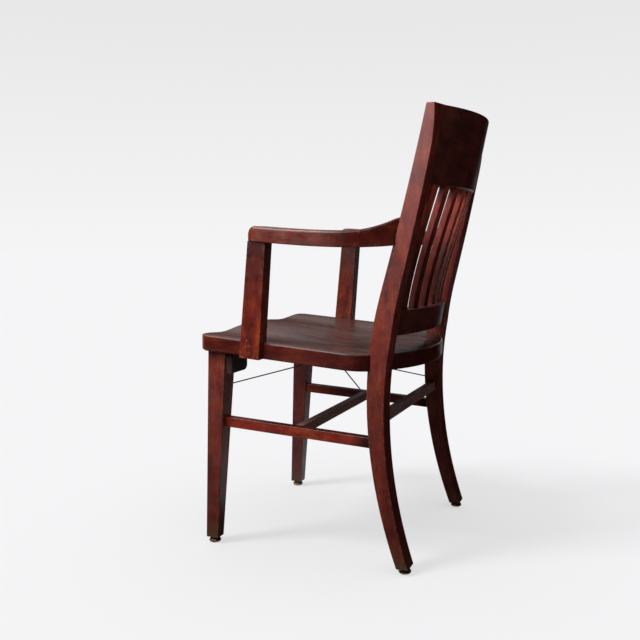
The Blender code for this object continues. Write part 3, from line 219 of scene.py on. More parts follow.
    stretcher_edge: length("Stretcher edge", 0.0012, "Rounding of the long edges")
    block_length: length("Block length", 0.067, "Side to side")
    block_height: length("Block height", 0.043, "Below the seat")
    block_thick: length("Block thickness", 0.014, "Front to rear")
    block_inset: length("Block inset", 0.003, "Outer end, in from the leg's outer face")
    block_corner: length("Block corner", 0.012, "Rounding of the lower inner corner")
    block_edge: length("Block edge", 0.0012, "Broken edges")
    wire_radius: length("Wire radius", 0.0013, "Bracing wire")
    wire_front: length("Front wire", 0.342, "Height where it enters the front leg")
    wire_rear: length("Rear wire", 0.318, "Height where it enters the rear post")
    wire_socket: length("Wire socket", 0.012, "Depth in the wood")
    wire_bend: length("Wire bend", 0.004, "Bend radius of the hook")
    hub_back: length("Hub place", 0.206, "Behind the seat's front edge")
    hub_drop: length("Hub drop", 0.021, "Plate underside below the seat")
    hub_plate: length("Hub plate", 0.003, "Plate thickness")
    hub_hook: length("Hub hook", 0.0125, "Radius of the hooks' circle")
    hook_stub: length("Hook stub", 0.003, "Hook above the plate")
    glide_radius: length("Glide radius", 0.0125, "Widest radius of the dome")
    glide_sole: length("Glide sole", 0.0085, "Radius of the flat sole")
    glide_base: length("Glide base", 0.007, "Height of the metal dome")
    glide_curve: share("Glide curve", 0.6, "Share of the dome's height that curves in to the sole")
    glide_rim: length("Glide rim", 0.0022, "Top face, in from the widest radius")
    glide_lip: length("Glide lip", 0.0006, "Lower edge of the rim, in from the widest radius")
    glide_lip_drop: length("Glide lip drop", 0.0008, "Top face to the lower edge of the rim")
    glide_height: length("Glide height", 0.012, "Floor to the foot of the wood")
    plug_radius: length("Plug radius", 0.0048, "Wood plug over an arm post screw")
    plug_length: length("Plug length", 0.006, "Depth in the arm post")
    plug_proud: length("Plug stand", 0.0004, "How far the plug's middle stands out of the post")
    plug_spacing: length("Plug spacing", 0.014, "Middle to middle")


class ChairFinish(bpy.types.PropertyGroup):
    """Colours of the chair's finishes."""

    deep: tone("Deep stain", "3A100A", "Dark fibres of the stained wood")
    body: tone("Body stain", "6A1E12", "Main tone of the stained wood")
    light: tone("Light stain", "88301C", "Light fibres of the stained wood")
    worn: tone("Worn edge", "A87650", "Wood that shows where the finish is rubbed through")
    haze: tone("Haze", "6E605A", "Dust and wax in the worn finish")
    dirt: tone("Dirt", "4E3E2A", "Floor dirt and polish on the feet")
    sat_on: tone("Seat top", "4E3B35", "Finish dulled by use on the seat's top")
    # The pore colour also serves as painted shade on the side bars' tops, where the seat above shades them
    pore: tone("Pore", "1A0805", "Filled pores, and old dirt on the side bars")
    # The block's nearly black colour is painted shade from the seat above, laid over its rough wood
    block: tone("Block wood", "1A1511", "Rough block under the seat")
    wire: tone("Wire", "6B6660", "Dull drawn steel")
    screw: tone("Screw", "8A857C", "Zinc-plated steel")
    glide: tone("Glide", "A88B68", "Tarnished nickel over brass")
    cushion: tone("Cushion", "17120F", "Old rubber")


class StudioSettings(bpy.types.PropertyGroup):
    """Camera and light."""

    camera: spot("Camera", (1.6457, 0.6039, 0.6474), "Place of the camera")
    yaw: angle("Yaw", 23.04, "Camera turn about the vertical")
    pitch: angle("Pitch", 5.93, "Camera tilt below level")
    lens: number("Lens", 44.88, "Focal length on a 36 mm sensor", unit="CAMERA")
    softbox: number("Softbox", 18.0, "Power of the softbox at the chair's front left", unit="POWER")
    softbox_place: spot("Softbox place", (1.00, -0.24, 1.28), "Middle of the softbox")
    softbox_aim: spot("Softbox aim", (0.15, 0.10, 0.60), "Point that it faces")
    softbox_width: length("Softbox width", 0.8, "Side to side")
    softbox_height: length("Softbox height", 1.05, "Lower edge to top")
    fill: number("Rear fill", 2.2, "Power of the weak lamp behind the chair", unit="POWER")
    fill_place: spot("Fill place", (-0.60, 2.00, 1.00), "Middle of the fill")
    fill_aim: spot("Fill aim", (0.0, 0.20, 0.50), "Point that it faces")
    fill_size: length("Fill size", 1.0, "Each side of the fill")
    overhead: number("Overhead", 1.6, "Strength of the broad light from above")
    overhead_spread: angle("Overhead spread", 16, "Width of that light as seen from the chair")
    overhead_way: spot("Overhead way", (-0.45, 0.50, -0.80), "Way that light travels", "DIRECTION")
    sky: number("Floor light", 1.9, "Strength of the light from straight above, which only the floor takes")
    sky_spread: angle("Floor light spread", 100, "Width of that light as seen from the floor")
    backdrop: tone("Backdrop", "E8E8E9", "Pale ground, high up")
    horizon: tone("Horizon", "F4F4F5", "Pale ground where it meets the floor")
    glow: tone("Floor, as seen", "CACACB", "Pale share of the floor that no shadow reaches")
    paper: tone("Floor paper", "969697", "Share of the floor that takes light and shadow")
    ambient: tone("Ambient", "444447", "Soft light from all round")
    flag: tone("Flag", "050505", "Black cloth that keeps reflections off the chair's rear and side")


# Shape of the chair

# How late the seat's carving fades out towards its sides and rear, as powers of the way there
SIDE_FADE = 4
REAR_FADE = 6


class ChairShape:
    """Faces and curves of the chair, worked out from its sizes. The sitter faces -Y and +X is the left."""

    def __init__(self, s):
        self.s = s
        self.slope = math.tan(s.seat_tilt)
        self.seat_front = s.front_edge + s.seat_bow
        self.seat_rear = s.front_edge + s.seat_depth
        self.waist = self.seat_rear - s.post_setback
        self.crest_low = s.height - s.crest_height
        self.rail_low = self.seat_top(self.seat_rear) + s.rail_gap
        self.rail_high = self.rail_low + s.rail_height
        self.leg_top = self.seat_bottom(self.seat_front + s.leg_inset_front)
        self.arm_top_front = s.seat_height + s.arm_rise
        self.arm_front = s.front_edge + s.arm_setback
        self.arm_length = self.arm_rear(self.arm_top_front) - self.arm_front
        self.arm_post_inner = s.seat_width / 2 - s.arm_post_housing
        self.arm_post_outer = self.arm_post_inner + s.arm_post_thick
        self.stretcher_inner = self.leg_inner(s.stretcher_front) + s.stretcher_setback
        self.cross_y = s.front_edge + s.cross_back
        self.hub_y = s.front_edge + s.hub_back

    def seat_top(self, y):
        return self.s.seat_height - (y - self.seat_front) * self.slope

    def seat_bottom(self, y):
        return self.seat_top(y) - self.s.seat_thick

    def saddle(self, x, y):
        """Carved top above the rim plane: thigh scoops, hip hollow and pommel, all fading out to the rim."""
        s = self.s
        back = (y - s.front_edge) / s.seat_depth
        across = min(1.0, abs(x) / (s.seat_width / 2))
        rim = (1 - across ** SIDE_FADE) * (1 - max(0.0, back) ** REAR_FADE)
        scoop = bump(abs(x) - s.scoop_x, s.scoop_width) * bump(back, s.scoop_length)
        hollow = bump(x, s.hollow_width) * bump(back - s.hollow_place, s.hollow_length)
        pommel = bump(x, s.pommel_width) * bump(back, s.pommel_length)
        return (s.pommel_rise * pommel - s.scoop_depth * scoop - s.hollow_depth * hollow) * rim

    def post_front(self, z):
        """Front edge of the rear post: swept foot, bend at the seat, slope that eases upright."""
        s = self.s
        if z < s.post_waist:
            return self.waist + s.post_sweep * (1 - z / s.post_waist) ** 2
        bend = min(z - s.post_waist, s.post_bend)
        straight = z - s.post_waist - bend
        ease = max(0.0, z - s.height + s.post_ease_length) / s.post_ease_length
        leaned = s.back_slope * (bend ** 2 / (2 * s.post_bend) + straight)
        return self.waist + leaned - s.post_ease * ease ** 2

    def post_depth(self, z):
        s = self.s
        if z < s.seat_height:
            return between(s.post_foot_depth, s.post_seat_depth, z / s.seat_height)
        return between(s.post_seat_depth, s.post_top_depth, (z - s.seat_height) / (s.height - s.seat_height))

    def post_rear(self, z):
        return self.post_front(z) + self.post_depth(z)

    def post_skew(self, z):
        """How far the outer rear edge lies ahead of the inner one, to turn with the crest's back."""
        s = self.s
        return s.post_roll * (max(0.0, z - s.height + s.post_roll_length) / s.post_roll_length) ** 2

    def post_outer(self, z):
        return self.s.seat_width / 2 - self.s.post_inset - self.s.post_lean * z

    def post_inner(self, z):
        return self.post_outer(z) - self.s.post_thick

    def leg_share(self, z):
        return (self.leg_top - z) / (self.leg_top - self.s.glide_height)

    def leg_outer(self, z):
        return self.s.seat_width / 2 - self.s.leg_inset_side - self.s.leg_foot_in * self.leg_share(z)

    def leg_inner(self, z):
        return self.leg_outer(z) - between(self.s.leg_top_width, self.s.leg_foot_width, self.leg_share(z))

    def leg_front(self, z):
        return self.seat_front + self.s.leg_inset_front - self.s.leg_foot_ahead * self.leg_share(z)

    def leg_rear(self, z):
        return self.leg_front(z) + between(self.s.leg_top_depth, self.s.leg_foot_depth, self.leg_share(z))

    def back_front(self, x, z):
        """Front surface of the rails: an arc between the posts' front faces."""
        half = self.post_inner(z)
        radius = self.s.back_radius
        sag = math.sqrt(radius ** 2 - min(abs(x), half) ** 2) - math.sqrt(radius ** 2 - half ** 2)
        return self.post_front(z) + self.s.rail_inset + sag

    def crest_end(self, z):
        return self.post_depth(z) - 2 * self.s.rail_inset

    def rail_end(self, z):
        return self.s.rail_end_thick

    def arm_rear(self, z):
        return self.post_front(z) - self.s.fit

    def arm_share(self, y):
        return (y - self.arm_front) / self.arm_length

    def arm_top(self, y):
        s = self.s
        part = self.arm_share(y)
        dip = s.arm_top_dip * eased(part, s.arm_top_low)
        return self.arm_top_front - dip + s.arm_rear_rise * late(part, s.arm_top_low)

    def arm_bottom(self, y):
        s = self.s
        part = self.arm_share(y)
        dip = s.arm_bottom_dip * eased(part, s.arm_bottom_low)
        return self.arm_top_front - s.arm_thick - dip + s.arm_rear_drop * late(part, s.arm_bottom_low)

    def arm_outer(self, y):
        front = self.arm_post_outer + self.s.arm_overhang
        rear = self.post_outer(self.arm_top_front)
        return between(front, rear, late(self.arm_share(y), self.s.arm_outer_bend))

    def arm_inner(self, y):
        front = self.arm_post_outer + self.s.arm_overhang - self.s.arm_width
        rear = self.post_outer(self.arm_top_front) - self.s.arm_rear_width
        return between(front, rear, late(self.arm_share(y), self.s.arm_inner_bend))

    def arm_post_front(self, z):
        s = self.s
        return s.front_edge + s.arm_post_setback + s.arm_post_lean * (z - s.seat_height + s.seat_thick)

    def arm_post_depth(self, z):
        s = self.s
        return between(s.arm_post_low_depth, s.arm_post_high_depth, (z - s.seat_height) / s.arm_rise)

    def stretcher_z(self, y):
        s = self.s
        front = self.leg_rear(s.stretcher_front)
        rear = self.post_front(s.stretcher_rear)
        return between(s.stretcher_front, s.stretcher_rear, (y - front) / (rear - front))

    def hub_place(self):
        top = (0, self.hub_y, self.seat_bottom(self.hub_y) - self.s.fit)
        return Matrix.Translation(top) @ Matrix.Rotation(-self.s.seat_tilt, 4, "X")


def between(start, end, part):
    return start + (end - start) * part


def bump(distance, width):
    """Smooth hump that is 1 in its middle and fades over width."""
    return math.exp(-(distance / width) ** 2)


def eased(part, start):
    """Quarter sine that reaches 1 at start and stays there."""
    return math.sin(QUARTER * min(part / start, 1.0))


def late(part, start):
    """0 up to start, then a parabola that reaches 1 at the end."""
    return (max(0.0, part - start) / (1 - start)) ** 2


def steps_between(start, end, count):
    return [between(start, end, i / count) for i in range(count + 1)]


def arc_points(x, y, radius, start, end, count):
    angles = [math.radians(angle) for angle in steps_between(start, end, count)]
    return [(x + radius * math.cos(angle), y + radius * math.sin(angle)) for angle in angles]


# Mesh making

def rounded_section(low_u, high_u, low_v, high_v, upper, lower=None, steps=4, along=3):
    """Rectangle with round corners, as (u, v, wear), and points along its flats. The corners at low_v can
    have a rounding of their own."""
    points = []
    for u, v, start in ((high_u, high_v, 0), (low_u, high_v, 90), (low_u, low_v, 180), (high_u, low_v, 270)):
        radius = lower if lower and v == low_v else upper
        centre_u = u - math.copysign(radius, u - (low_u + high_u) / 2)
        centre_v = v - math.copysign(radius, v - (low_v + high_v) / 2)
        for step, point in enumerate(arc_points(centre_u, centre_v, radius, start, start + 90, steps)):
            points.append((*point, FULL_WEAR if 0 < step < steps else SHOULDER_WEAR))
    section = []
    for here, following in zip(points, points[1:] + points[:1]):
        section.append(here)
        if here[2] < FULL_WEAR and following[2] < FULL_WEAR:
            for part in steps_between(0, 1, along + 1)[1:-1]:
                u, v = (between(a, b, part) for a, b in zip(here[:2], following[:2]))
                section.append((u, v, 0.0))
    return section


def loft(rings):
    """Closed solid through rings of ((x, y, z), wear) points, with flat ends. Wear becomes an attribute."""
    bm = bmesh.new()
    layer = bm.verts.layers.float.new("edge_wear")
    rows = []
    for ring in rings:
        rows.append([bm.verts.new(point) for point, wear in ring])
        for vert, (point, wear) in zip(rows[-1], ring):
            vert[layer] = wear
    count = len(rows[0])
    for low, high in zip(rows, rows[1:]):
        for i in range(count):
            j = (i + 1) % count
            bm.faces.new((low[i], low[j], high[j], high[i]))
    bm.faces.new(reversed(rows[0]))
    bm.faces.new(rows[-1])
    bmesh.ops.recalc_face_normals(bm, faces=bm.faces)
    return bm


def on_side(bm, side):
    """The mesh as built on the left, or mirrored to the right."""
    if side == RIGHT:
        bmesh.ops.transform(bm, matrix=Matrix.Scale(-1, 4, (1, 0, 0)), verts=bm.verts)
        bmesh.ops.reverse_faces(bm, faces=bm.faces)
    return bm


def turned(profile, sides):
    """Profile of (radius, height) pairs, from the top down its outer side, turned about Z into a solid."""
    around = [2 * math.pi * i / sides for i in range(sides)]
    rings = []
    for radius, z in profile:
        rings.append([((radius * math.cos(a), radius * math.sin(a), z), 0.0) for a in around])
    return loft(rings)


def mesh_from(bm, name):
    mesh = bpy.data.meshes.new(name)
    bm.to_mesh(mesh)
    bm.free()
    return mesh


def linked(name, data):
    """New object in the scene."""
    made = bpy.data.objects.new(name, data)
    bpy.context.scene.collection.objects.link(made)
    return made


def evaluated(holder):
    """Plain mesh of an object, with its modifiers worked in."""
    graph = bpy.context.evaluated_depsgraph_get()
    solved = holder.evaluated_get(graph)
    return bpy.data.meshes.new_from_object(solved, preserve_all_data_layers=True, depsgraph=graph)


def discard(*scraps):
    for scrap in scraps:
        bpy.data.objects.remove(scrap, do_unlink=True)


def chair_collection():
    found = bpy.data.collections.get("dressed_chair")
    if found is None:
        found = bpy.data.collections.new("dressed_chair")
        bpy.context.scene.collection.children.link(found)
    return found


def dressed(name, mesh, finish, nodes, smooth=40.0):
    """A finished piece: smooth where it curves, riding on the chair and standing for its solids."""
    mesh.name = name
    piece = bpy.data.objects.new(name, mesh)
    chair_collection().objects.link(piece)
    mesh.materials.clear()
    mesh.materials.append(finish_of(finish))
    mesh.polygons.foreach_set("material_index", [0] * len(mesh.polygons))
    mesh.shade_smooth()
    mesh.set_sharp_from_angle(angle=math.radians(smooth))
    piece.modifiers.new("even shading", "WEIGHTED_NORMAL").keep_sharp = True
    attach(piece, "root")
    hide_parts(*nodes)


def dressed_side(side, label, bm, finish, endings):
    """A piece of one side, from its shape as built on the left, standing for that side's own solids."""
    mesh = mesh_from(on_side(bm, SIDES[side]), side)
    dressed(side + label, mesh, finish, [side + ending for ending in endings])


def refinish(node, finish):
    """Puts a finish on a solid that stays as it is."""
    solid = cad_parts[node]
    if solid.material_slots:
        for held in solid.material_slots:
            held.material = finish_of(finish)
    else:
        solid.data.materials.append(finish_of(finish))


# Nodes

def add(tree, kind, inputs=None, out=0, **settings):
    """Adds a node and gives one of its outputs. An input is a value, or the socket that feeds it."""
    node = tree.nodes.new(kind)
    for key, value in settings.items():
        setattr(node, key, value)
    for key, value in (inputs or {}).items():
        if isinstance(value, bpy.types.NodeSocket):
            tree.links.new(value, node.inputs[key])
        else:
            node.inputs[key].default_value = value
    return node.outputs[out] if node.outputs else None


def opaque(colour):
    return (*colour, 1.0)


def ramp(tree, factor, stops):
    """Colour ramp through (place, colour) stops."""
    made = add(tree, "ShaderNodeValToRGB", {0: factor})
    elements = made.node.color_ramp.elements
    while len(elements) < len(stops):
        elements.new(0.5)
    for element, (position, colour) in zip(elements, stops):
        element.position = position
        element.color = opaque(colour)
    return made


def new_geometry(name, numbers=()):
    """New geometry node tree that takes a mesh and named numbers, and the sockets that give them."""
    tree = bpy.data.node_groups.new(name, "GeometryNodeTree")
    tree.interface.new_socket("Geometry", in_out="INPUT", socket_type="NodeSocketGeometry")
    for label in numbers:
        kind = "NodeSocketInt" if label == "Count" else "NodeSocketFloat"
        tree.interface.new_socket(label, in_out="INPUT", socket_type=kind)
    tree.interface.new_socket("Geometry", in_out="OUTPUT", socket_type="NodeSocketGeometry")
    return tree, add(tree, "NodeGroupInput").node.outputs


def grown(name, seed, tree, made, finish, values=None):
    """Plain mesh that a node tree makes from a seed mesh and named values. Its last nodes are added here."""
    made = add(tree, "GeometryNodeRealizeInstances", {0: made})
    made = add(tree, "GeometryNodeSetMaterial", {"Geometry": made, "Material": finish_of(finish)})
    add(tree, "NodeGroupOutput", {0: made})
    holder = linked(name, seed)
    modifier = holder.modifiers.new(tree.name, "NODES")
    modifier.node_group = tree
    for item in tree.interface.items_tree:
        if item.in_out == "INPUT" and item.name in (values or {}):
            modifier[item.identifier] = values[item.name]
    mesh = evaluated(holder)
    holder.modifiers.clear()
    discard(holder)
    return mesh


def repeated(name, bm, places, finish):
    """Plain mesh with one copy of a small shape at each place."""
    pattern = linked(name + "_pattern", mesh_from(bm, name + "_pattern"))
    seed = bpy.data.meshes.new(name + "_places")
    seed.from_pydata(places, [], [])
    tree, given = new_geometry(name)
    copy = add(tree, "GeometryNodeObjectInfo", {"Object": pattern}, "Geometry")
    made = add(tree, "GeometryNodeInstanceOnPoints", {"Points": given["Geometry"], "Instance": copy})
    mesh = grown(name, seed, tree, made, finish)
    discard(pattern)
    return mesh


# Materials

GRAIN_TURNS = {"X": (0, QUARTER, 0), "Y": (QUARTER, 0, 0), "Z": (0, 0, 0)}

# Patterns of the stained wood: width and length along the grain in metres, then the noise's detail,
# roughness and distortion. Fibres are under 1 mm wide and pores 0.2 mm, so both are drawn coarser, to show
# in the picture.
WOOD_PATTERNS = {
    "fibre": (0.003, 0.12, 5.0, 0.6, 0.0),
    "figure": (0.024, 0.16, 5.0, 0.5, 0.8),
    "mottle": (0.005, 0.014, 4.0, 0.7, 0.0),
    "pore": (0.0012, 0.012, 2.0, 0.5, 0.0),
}

# Other sizes of the wear and stain, in metres
SMEAR_WIDTH = 0.025
CLOUD_SIZE = 0.045
SPOT_SIZE = 0.007
BOARD_WIDTH = 0.110
CHIPPED_HEIGHT = 0.07
DIRT_LOW = 0.012
DIRT_HIGH = 0.055
RELIEF = 0.0006

# A board lies astride the seat's middle, and the boards are counted from well to its right
BOARD_START = 10.5

# Where the arm's outer side is paler: the distance from the chair's middle, and the Y, between which it fades
# in
PALE_OUT = (0.236, 0.258)
PALE_FRONT = (0.06, 0.01)


def new_material(name):
    made = bpy.data.materials.new(name)
    made.use_nodes = True
    made.node_tree.nodes.clear()
    return made, made.node_tree


def stained_wood(name, grain, finish, tone=1.0, warm=0.508, roughness=0.44, sheen_range=0.06, uneven=0.32,
                 bloom=0.0, haze=0.0, dust_and_painted_shade="haze", smear_length=SMEAR_WIDTH, painted_shading=None, wear=0.3, chips=None,
                 feet=0.0, boards=False, held=False):
    """Mahogany-stained hardwood, sawn and scraped, under a brushed semi-gloss varnish: red-brown with soft
    streaks along the grain, cloudy patches that turn orange, dark pores, and finish rubbed through along the
    edges. Some pieces also take painted light and shade along one axis, painted sheen in the bloom, and
    painted shade on the side bars' faces that look up."""
    material, tree = new_material(name)
    place = add(tree, "ShaderNodeTexCoord", out="Object")
    axes = add(tree, "ShaderNodeSeparateXYZ", {0: place}).node.outputs
    along = add(tree, "ShaderNodeMapping", {"Vector": place, "Rotation": GRAIN_TURNS[grain]})
    noise = {}
    # The smear is a haze of dust and old wax; it also places the painted sheen and the painted shade below
    patterns = {**WOOD_PATTERNS, "smear": (SMEAR_WIDTH, smear_length, 6.0, 0.65, 0.0)}
    for key, (wide, long, detail, rough, bent) in patterns.items():
        scaled = add(tree, "ShaderNodeMapping", {"Vector": along, "Scale": (1 / wide, 1 / wide, 1 / long)})
        noise[key] = add(tree, "ShaderNodeTexNoise", {"Vector": scaled, "Scale": 1.0, "Detail": detail,
                                                      "Roughness": rough, "Distortion": bent})
    smear = noise["smear"]
    pore = add(tree, "ShaderNodeMapRange", {0: noise["pore"], 1: 0.58, 2: 0.74})
    colour = fibre_colour(tree, noise, pore, finish, tone)
    if boards:
        colour = board_tones(tree, axes[0], colour)
    # Stain takes unevenly, in clouds: the light ones are more orange
    cloud = add(tree, "ShaderNodeTexNoise", {"Vector": place, "Scale": 1 / CLOUD_SIZE, "Detail": 6.0,
                                             "Roughness": 0.6})
    taken = add(tree, "ShaderNodeMapRange", {0: cloud, 1: 0.3, 2: 0.7, 3: 1 - uneven, 4: 1 + uneven})
    hue = add(tree, "ShaderNodeMapRange", {0: cloud, 1: 0.45, 2: 0.75, 3: 0.498, 4: warm})
    colour = add(tree, "ShaderNodeHueSaturation", {"Hue": hue, "Value": taken, "Color": colour})
    if bloom > 0:
        # Grey mixed in where the smear is: partly milky old varnish, partly painted sheen
        milk_and_sheen = add(tree, "ShaderNodeMapRange", {0: smear, 1: 0.3, 2: 0.7, 3: 0.5 * bloom, 4: 1.5 * bloom})
        colour = add(tree, "ShaderNodeMix", {0: milk_and_sheen, 6: colour, 7: opaque(finish.haze)}, 2, data_type="RGBA")
    # The front half of the arm's outer side is made paler and greyer
    if held:
        colour = paler_arm_front(tree, axes, smear, finish, colour)
    # Varnish is smooth where it is left and dull where the smear is
    dull = add(tree, "ShaderNodeMapRange", {0: smear, 1: 0.36, 2: 0.62, 3: roughness - sheen_range,
                                            4: roughness + sheen_range})
    if haze > 0:
        # Faces that look up take another colour where the smear is: dust, and on the side bars painted shade
        # from the seat above them
        facing = add(tree, "ShaderNodeSeparateXYZ", {0: add(tree, "ShaderNodeNewGeometry", out="Normal")}, 2)
        lying = add(tree, "ShaderNodeMapRange", {0: facing, 1: 0.3, 2: 0.9, 4: haze})
        thin = add(tree, "ShaderNodeMath", {0: lying, 1: 0.5}, operation="MULTIPLY")
        dust_and_shade_veil = add(tree, "ShaderNodeMapRange", {0: smear, 1: 0.36, 2: 0.60, 3: thin, 4: lying})
        dusty = opaque(getattr(finish, dust_and_painted_shade))
        colour = add(tree, "ShaderNodeMix", {0: dust_and_shade_veil, 6: colour, 7: dusty}, 2, data_type="RGBA")
    if painted_shading:
        # Painted light and shade along one axis: darker where shade falls, and on the slats lighter near the
        # top
        axis, start, end, first, last = painted_shading
        darker = add(tree, "ShaderNodeMapRange", {0: axes[axis], 1: start, 2: end, 3: first, 4: last})
        colour = add(tree, "ShaderNodeHueSaturation", {"Value": darker, "Color": colour})
    # Finish rubbed through along the edges, broken up by spots
    edge = add(tree, "ShaderNodeAttribute", out="Fac", attribute_name="edge_wear")
    spots = add(tree, "ShaderNodeTexNoise", {"Vector": place, "Scale": 1 / SPOT_SIZE, "Detail": 5.0,
                                             "Roughness": 0.7})
    rub = add(tree, "ShaderNodeMapRange", {0: spots, 1: 0.50, 2: 0.66, 4: wear})
    rub = add(tree, "ShaderNodeMath", {0: rub, 1: edge}, operation="MULTIPLY")
    if chips:
        # Chips low on the piece
        most, low = chips
        near = add(tree, "ShaderNodeMapRange", {0: axes[2], 1: low, 2: low + CHIPPED_HEIGHT, 3: most, 4: 0.0})
        chip = add(tree, "ShaderNodeMapRange", {0: spots, 1: 0.60, 2: 0.66})
        chip = add(tree, "ShaderNodeMath", {0: chip, 1: near}, operation="MULTIPLY")
        rub = add(tree, "ShaderNodeMath", {0: rub, 1: chip}, operation="MAXIMUM")
    if feet > 0:
        # Dirt of the floor
        near = add(tree, "ShaderNodeMapRange", {0: axes[2], 1: DIRT_LOW, 2: DIRT_HIGH, 3: feet, 4: 0.0})
        soil = add(tree, "ShaderNodeMapRange", {0: spots, 1: 0.35, 2: 0.60, 3: 0.5})
        soil = add(tree, "ShaderNodeMath", {0: soil, 1: near}, operation="MULTIPLY")
        colour = add(tree, "ShaderNodeMix", {0: soil, 6: colour, 7: opaque(finish.dirt)}, 2, data_type="RGBA")
    colour = add(tree, "ShaderNodeMix", {0: rub, 6: colour, 7: opaque(finish.worn)}, 2, data_type="RGBA")
    dull = add(tree, "ShaderNodeMath", {0: rub, 1: 0.35, 2: dull}, operation="MULTIPLY_ADD", use_clamp=True)
    if haze > 0:
        # Use has polished those faces
        dull = add(tree, "ShaderNodeMath", {0: lying, 1: -0.12, 2: dull}, operation="MULTIPLY_ADD",
                   use_clamp=True)
    relief = add(tree, "ShaderNodeMath", {0: pore, 1: -0.6, 2: noise["fibre"]}, operation="MULTIPLY_ADD")
    strength = 0.04 if boards else 0.12
    normal = add(tree, "ShaderNodeBump", {"Strength": strength, "Distance": RELIEF, "Height": relief})
    shader = add(tree, "ShaderNodeBsdfPrincipled", {"Base Color": colour, "Roughness": dull, "Normal": normal,
                                                    "IOR": 1.4})
    add(tree, "ShaderNodeOutputMaterial", {"Surface": shader})
    return material


def fibre_colour(tree, noise, pore, finish, tone):
    """Streaks of fibre, ribbon figure and mottle in three tones of the stain, with dark pores."""
    streak = add(tree, "ShaderNodeMix", {0: 0.62, 2: noise["fibre"], 3: noise["figure"]})
    streak = add(tree, "ShaderNodeMix", {0: 0.35, 2: streak, 3: noise["mottle"]})
    stains = ((0.34, finish.deep), (0.50, finish.body), (0.68, finish.light))
    wood = ramp(tree, streak, [(level, [c * tone for c in stain]) for level, stain in stains])
    filled = add(tree, "ShaderNodeMath", {0: pore, 1: 0.6}, operation="MULTIPLY")
    return add(tree, "ShaderNodeMix", {0: filled, 6: wood, 7: opaque(finish.pore)}, 2, data_type="RGBA")


def board_tones(tree, x, colour):
    """Boards side by side, each with a tone of its own."""
    board = add(tree, "ShaderNodeMath", {0: x, 1: 1 / BOARD_WIDTH, 2: BOARD_START}, operation="MULTIPLY_ADD")
    board = add(tree, "ShaderNodeMath", {0: board}, operation="FLOOR")
    board = add(tree, "ShaderNodeTexWhiteNoise", {"W": board}, noise_dimensions="1D")
    shift = add(tree, "ShaderNodeMapRange", {0: board, 3: 0.78, 4: 1.15})
    return add(tree, "ShaderNodeHueSaturation", {"Value": shift, "Color": colour})


def paler_arm_front(tree, axes, smear, finish, colour):
    """The front half of the arm's outer side, made paler and greyer."""
    out = add(tree, "ShaderNodeMath", {0: axes[0]}, operation="ABSOLUTE")
    out = add(tree, "ShaderNodeMapRange", {0: out, 1: PALE_OUT[0], 2: PALE_OUT[1]})
    front = add(tree, "ShaderNodeMapRange", {0: axes[1], 1: PALE_FRONT[0], 2: PALE_FRONT[1]})
    paler = add(tree, "ShaderNodeMath", {0: out, 1: front}, operation="MULTIPLY")
    # Paler, greyer copy of the colour
    rubbed = add(tree, "ShaderNodeHueSaturation", {"Value": 1.65, "Color": colour})
    dusty = add(tree, "ShaderNodeMapRange", {0: smear, 1: 0.40, 2: 0.70, 4: 0.16})
    rubbed = add(tree, "ShaderNodeMix", {0: dusty, 6: rubbed, 7: opaque(finish.haze)}, 2, data_type="RGBA")
    return add(tree, "ShaderNodeMix", {0: paler, 6: colour, 7: rubbed}, 2, data_type="RGBA")


def sawn_wood(name, colour, dark):
    """Rough-sawn, unvarnished wood: matt, with saw streaks along the grain, 2 mm wide and 40 mm long."""
    material, tree = new_material(name)
    place = add(tree, "ShaderNodeTexCoord", out="Object")
    along = add(tree, "ShaderNodeMapping", {"Vector": place, "Rotation": GRAIN_TURNS["X"]})
    streak = add(tree, "ShaderNodeMapping", {"Vector": along, "Scale": (1 / 0.002, 1 / 0.002, 1 / 0.04)})
    streak = add(tree, "ShaderNodeTexNoise", {"Vector": streak, "Scale": 1.0, "Detail": 5.0})
    mixed = ramp(tree, streak, ((0.35, dark), (0.65, colour)))
    normal = add(tree, "ShaderNodeBump", {"Strength": 0.3, "Distance": RELIEF, "Height": streak})
    shader = add(tree, "ShaderNodeBsdfPrincipled", {"Base Color": mixed, "Roughness": 0.7, "Normal": normal})
    add(tree, "ShaderNodeOutputMaterial", {"Surface": shader})
    return material


def old_metal(name, colour, roughness, spot_size):
    """Drawn or stamped metal that has dulled: grey, with darker tarnish spots and soft reflections."""
    material, tree = new_material(name)
    place = add(tree, "ShaderNodeTexCoord", out="Object")
    spots = add(tree, "ShaderNodeTexNoise", {"Vector": place, "Scale": 1 / spot_size, "Detail": 5.0})
    mixed = ramp(tree, spots, ((0.38, [c * 0.35 for c in colour]), (0.60, colour)))
    dull = add(tree, "ShaderNodeMapRange", {0: spots, 1: 0.3, 2: 0.7, 3: roughness + 0.2, 4: roughness})
    shader = add(tree, "ShaderNodeBsdfPrincipled", {"Base Color": mixed, "Roughness": dull, "Metallic": 1.0})
    add(tree, "ShaderNodeOutputMaterial", {"Surface": shader})
    return material


def old_rubber(name, colour):
    """Hard old rubber: nearly black, matt, with a dusty bloom in 3 mm patches."""
    material, tree = new_material(name)
    place = add(tree, "ShaderNodeTexCoord", out="Object")
    bloom = add(tree, "ShaderNodeTexNoise", {"Vector": place, "Scale": 1 / 0.003, "Detail": 4.0})
    mixed = ramp(tree, bloom, ((0.4, colour), (0.8, [c * 3 + 0.01 for c in colour])))
    shader = add(tree, "ShaderNodeBsdfPrincipled", {"Base Color": mixed, "Roughness": 0.75})
    add(tree, "ShaderNodeOutputMaterial", {"Surface": shader})
    return material
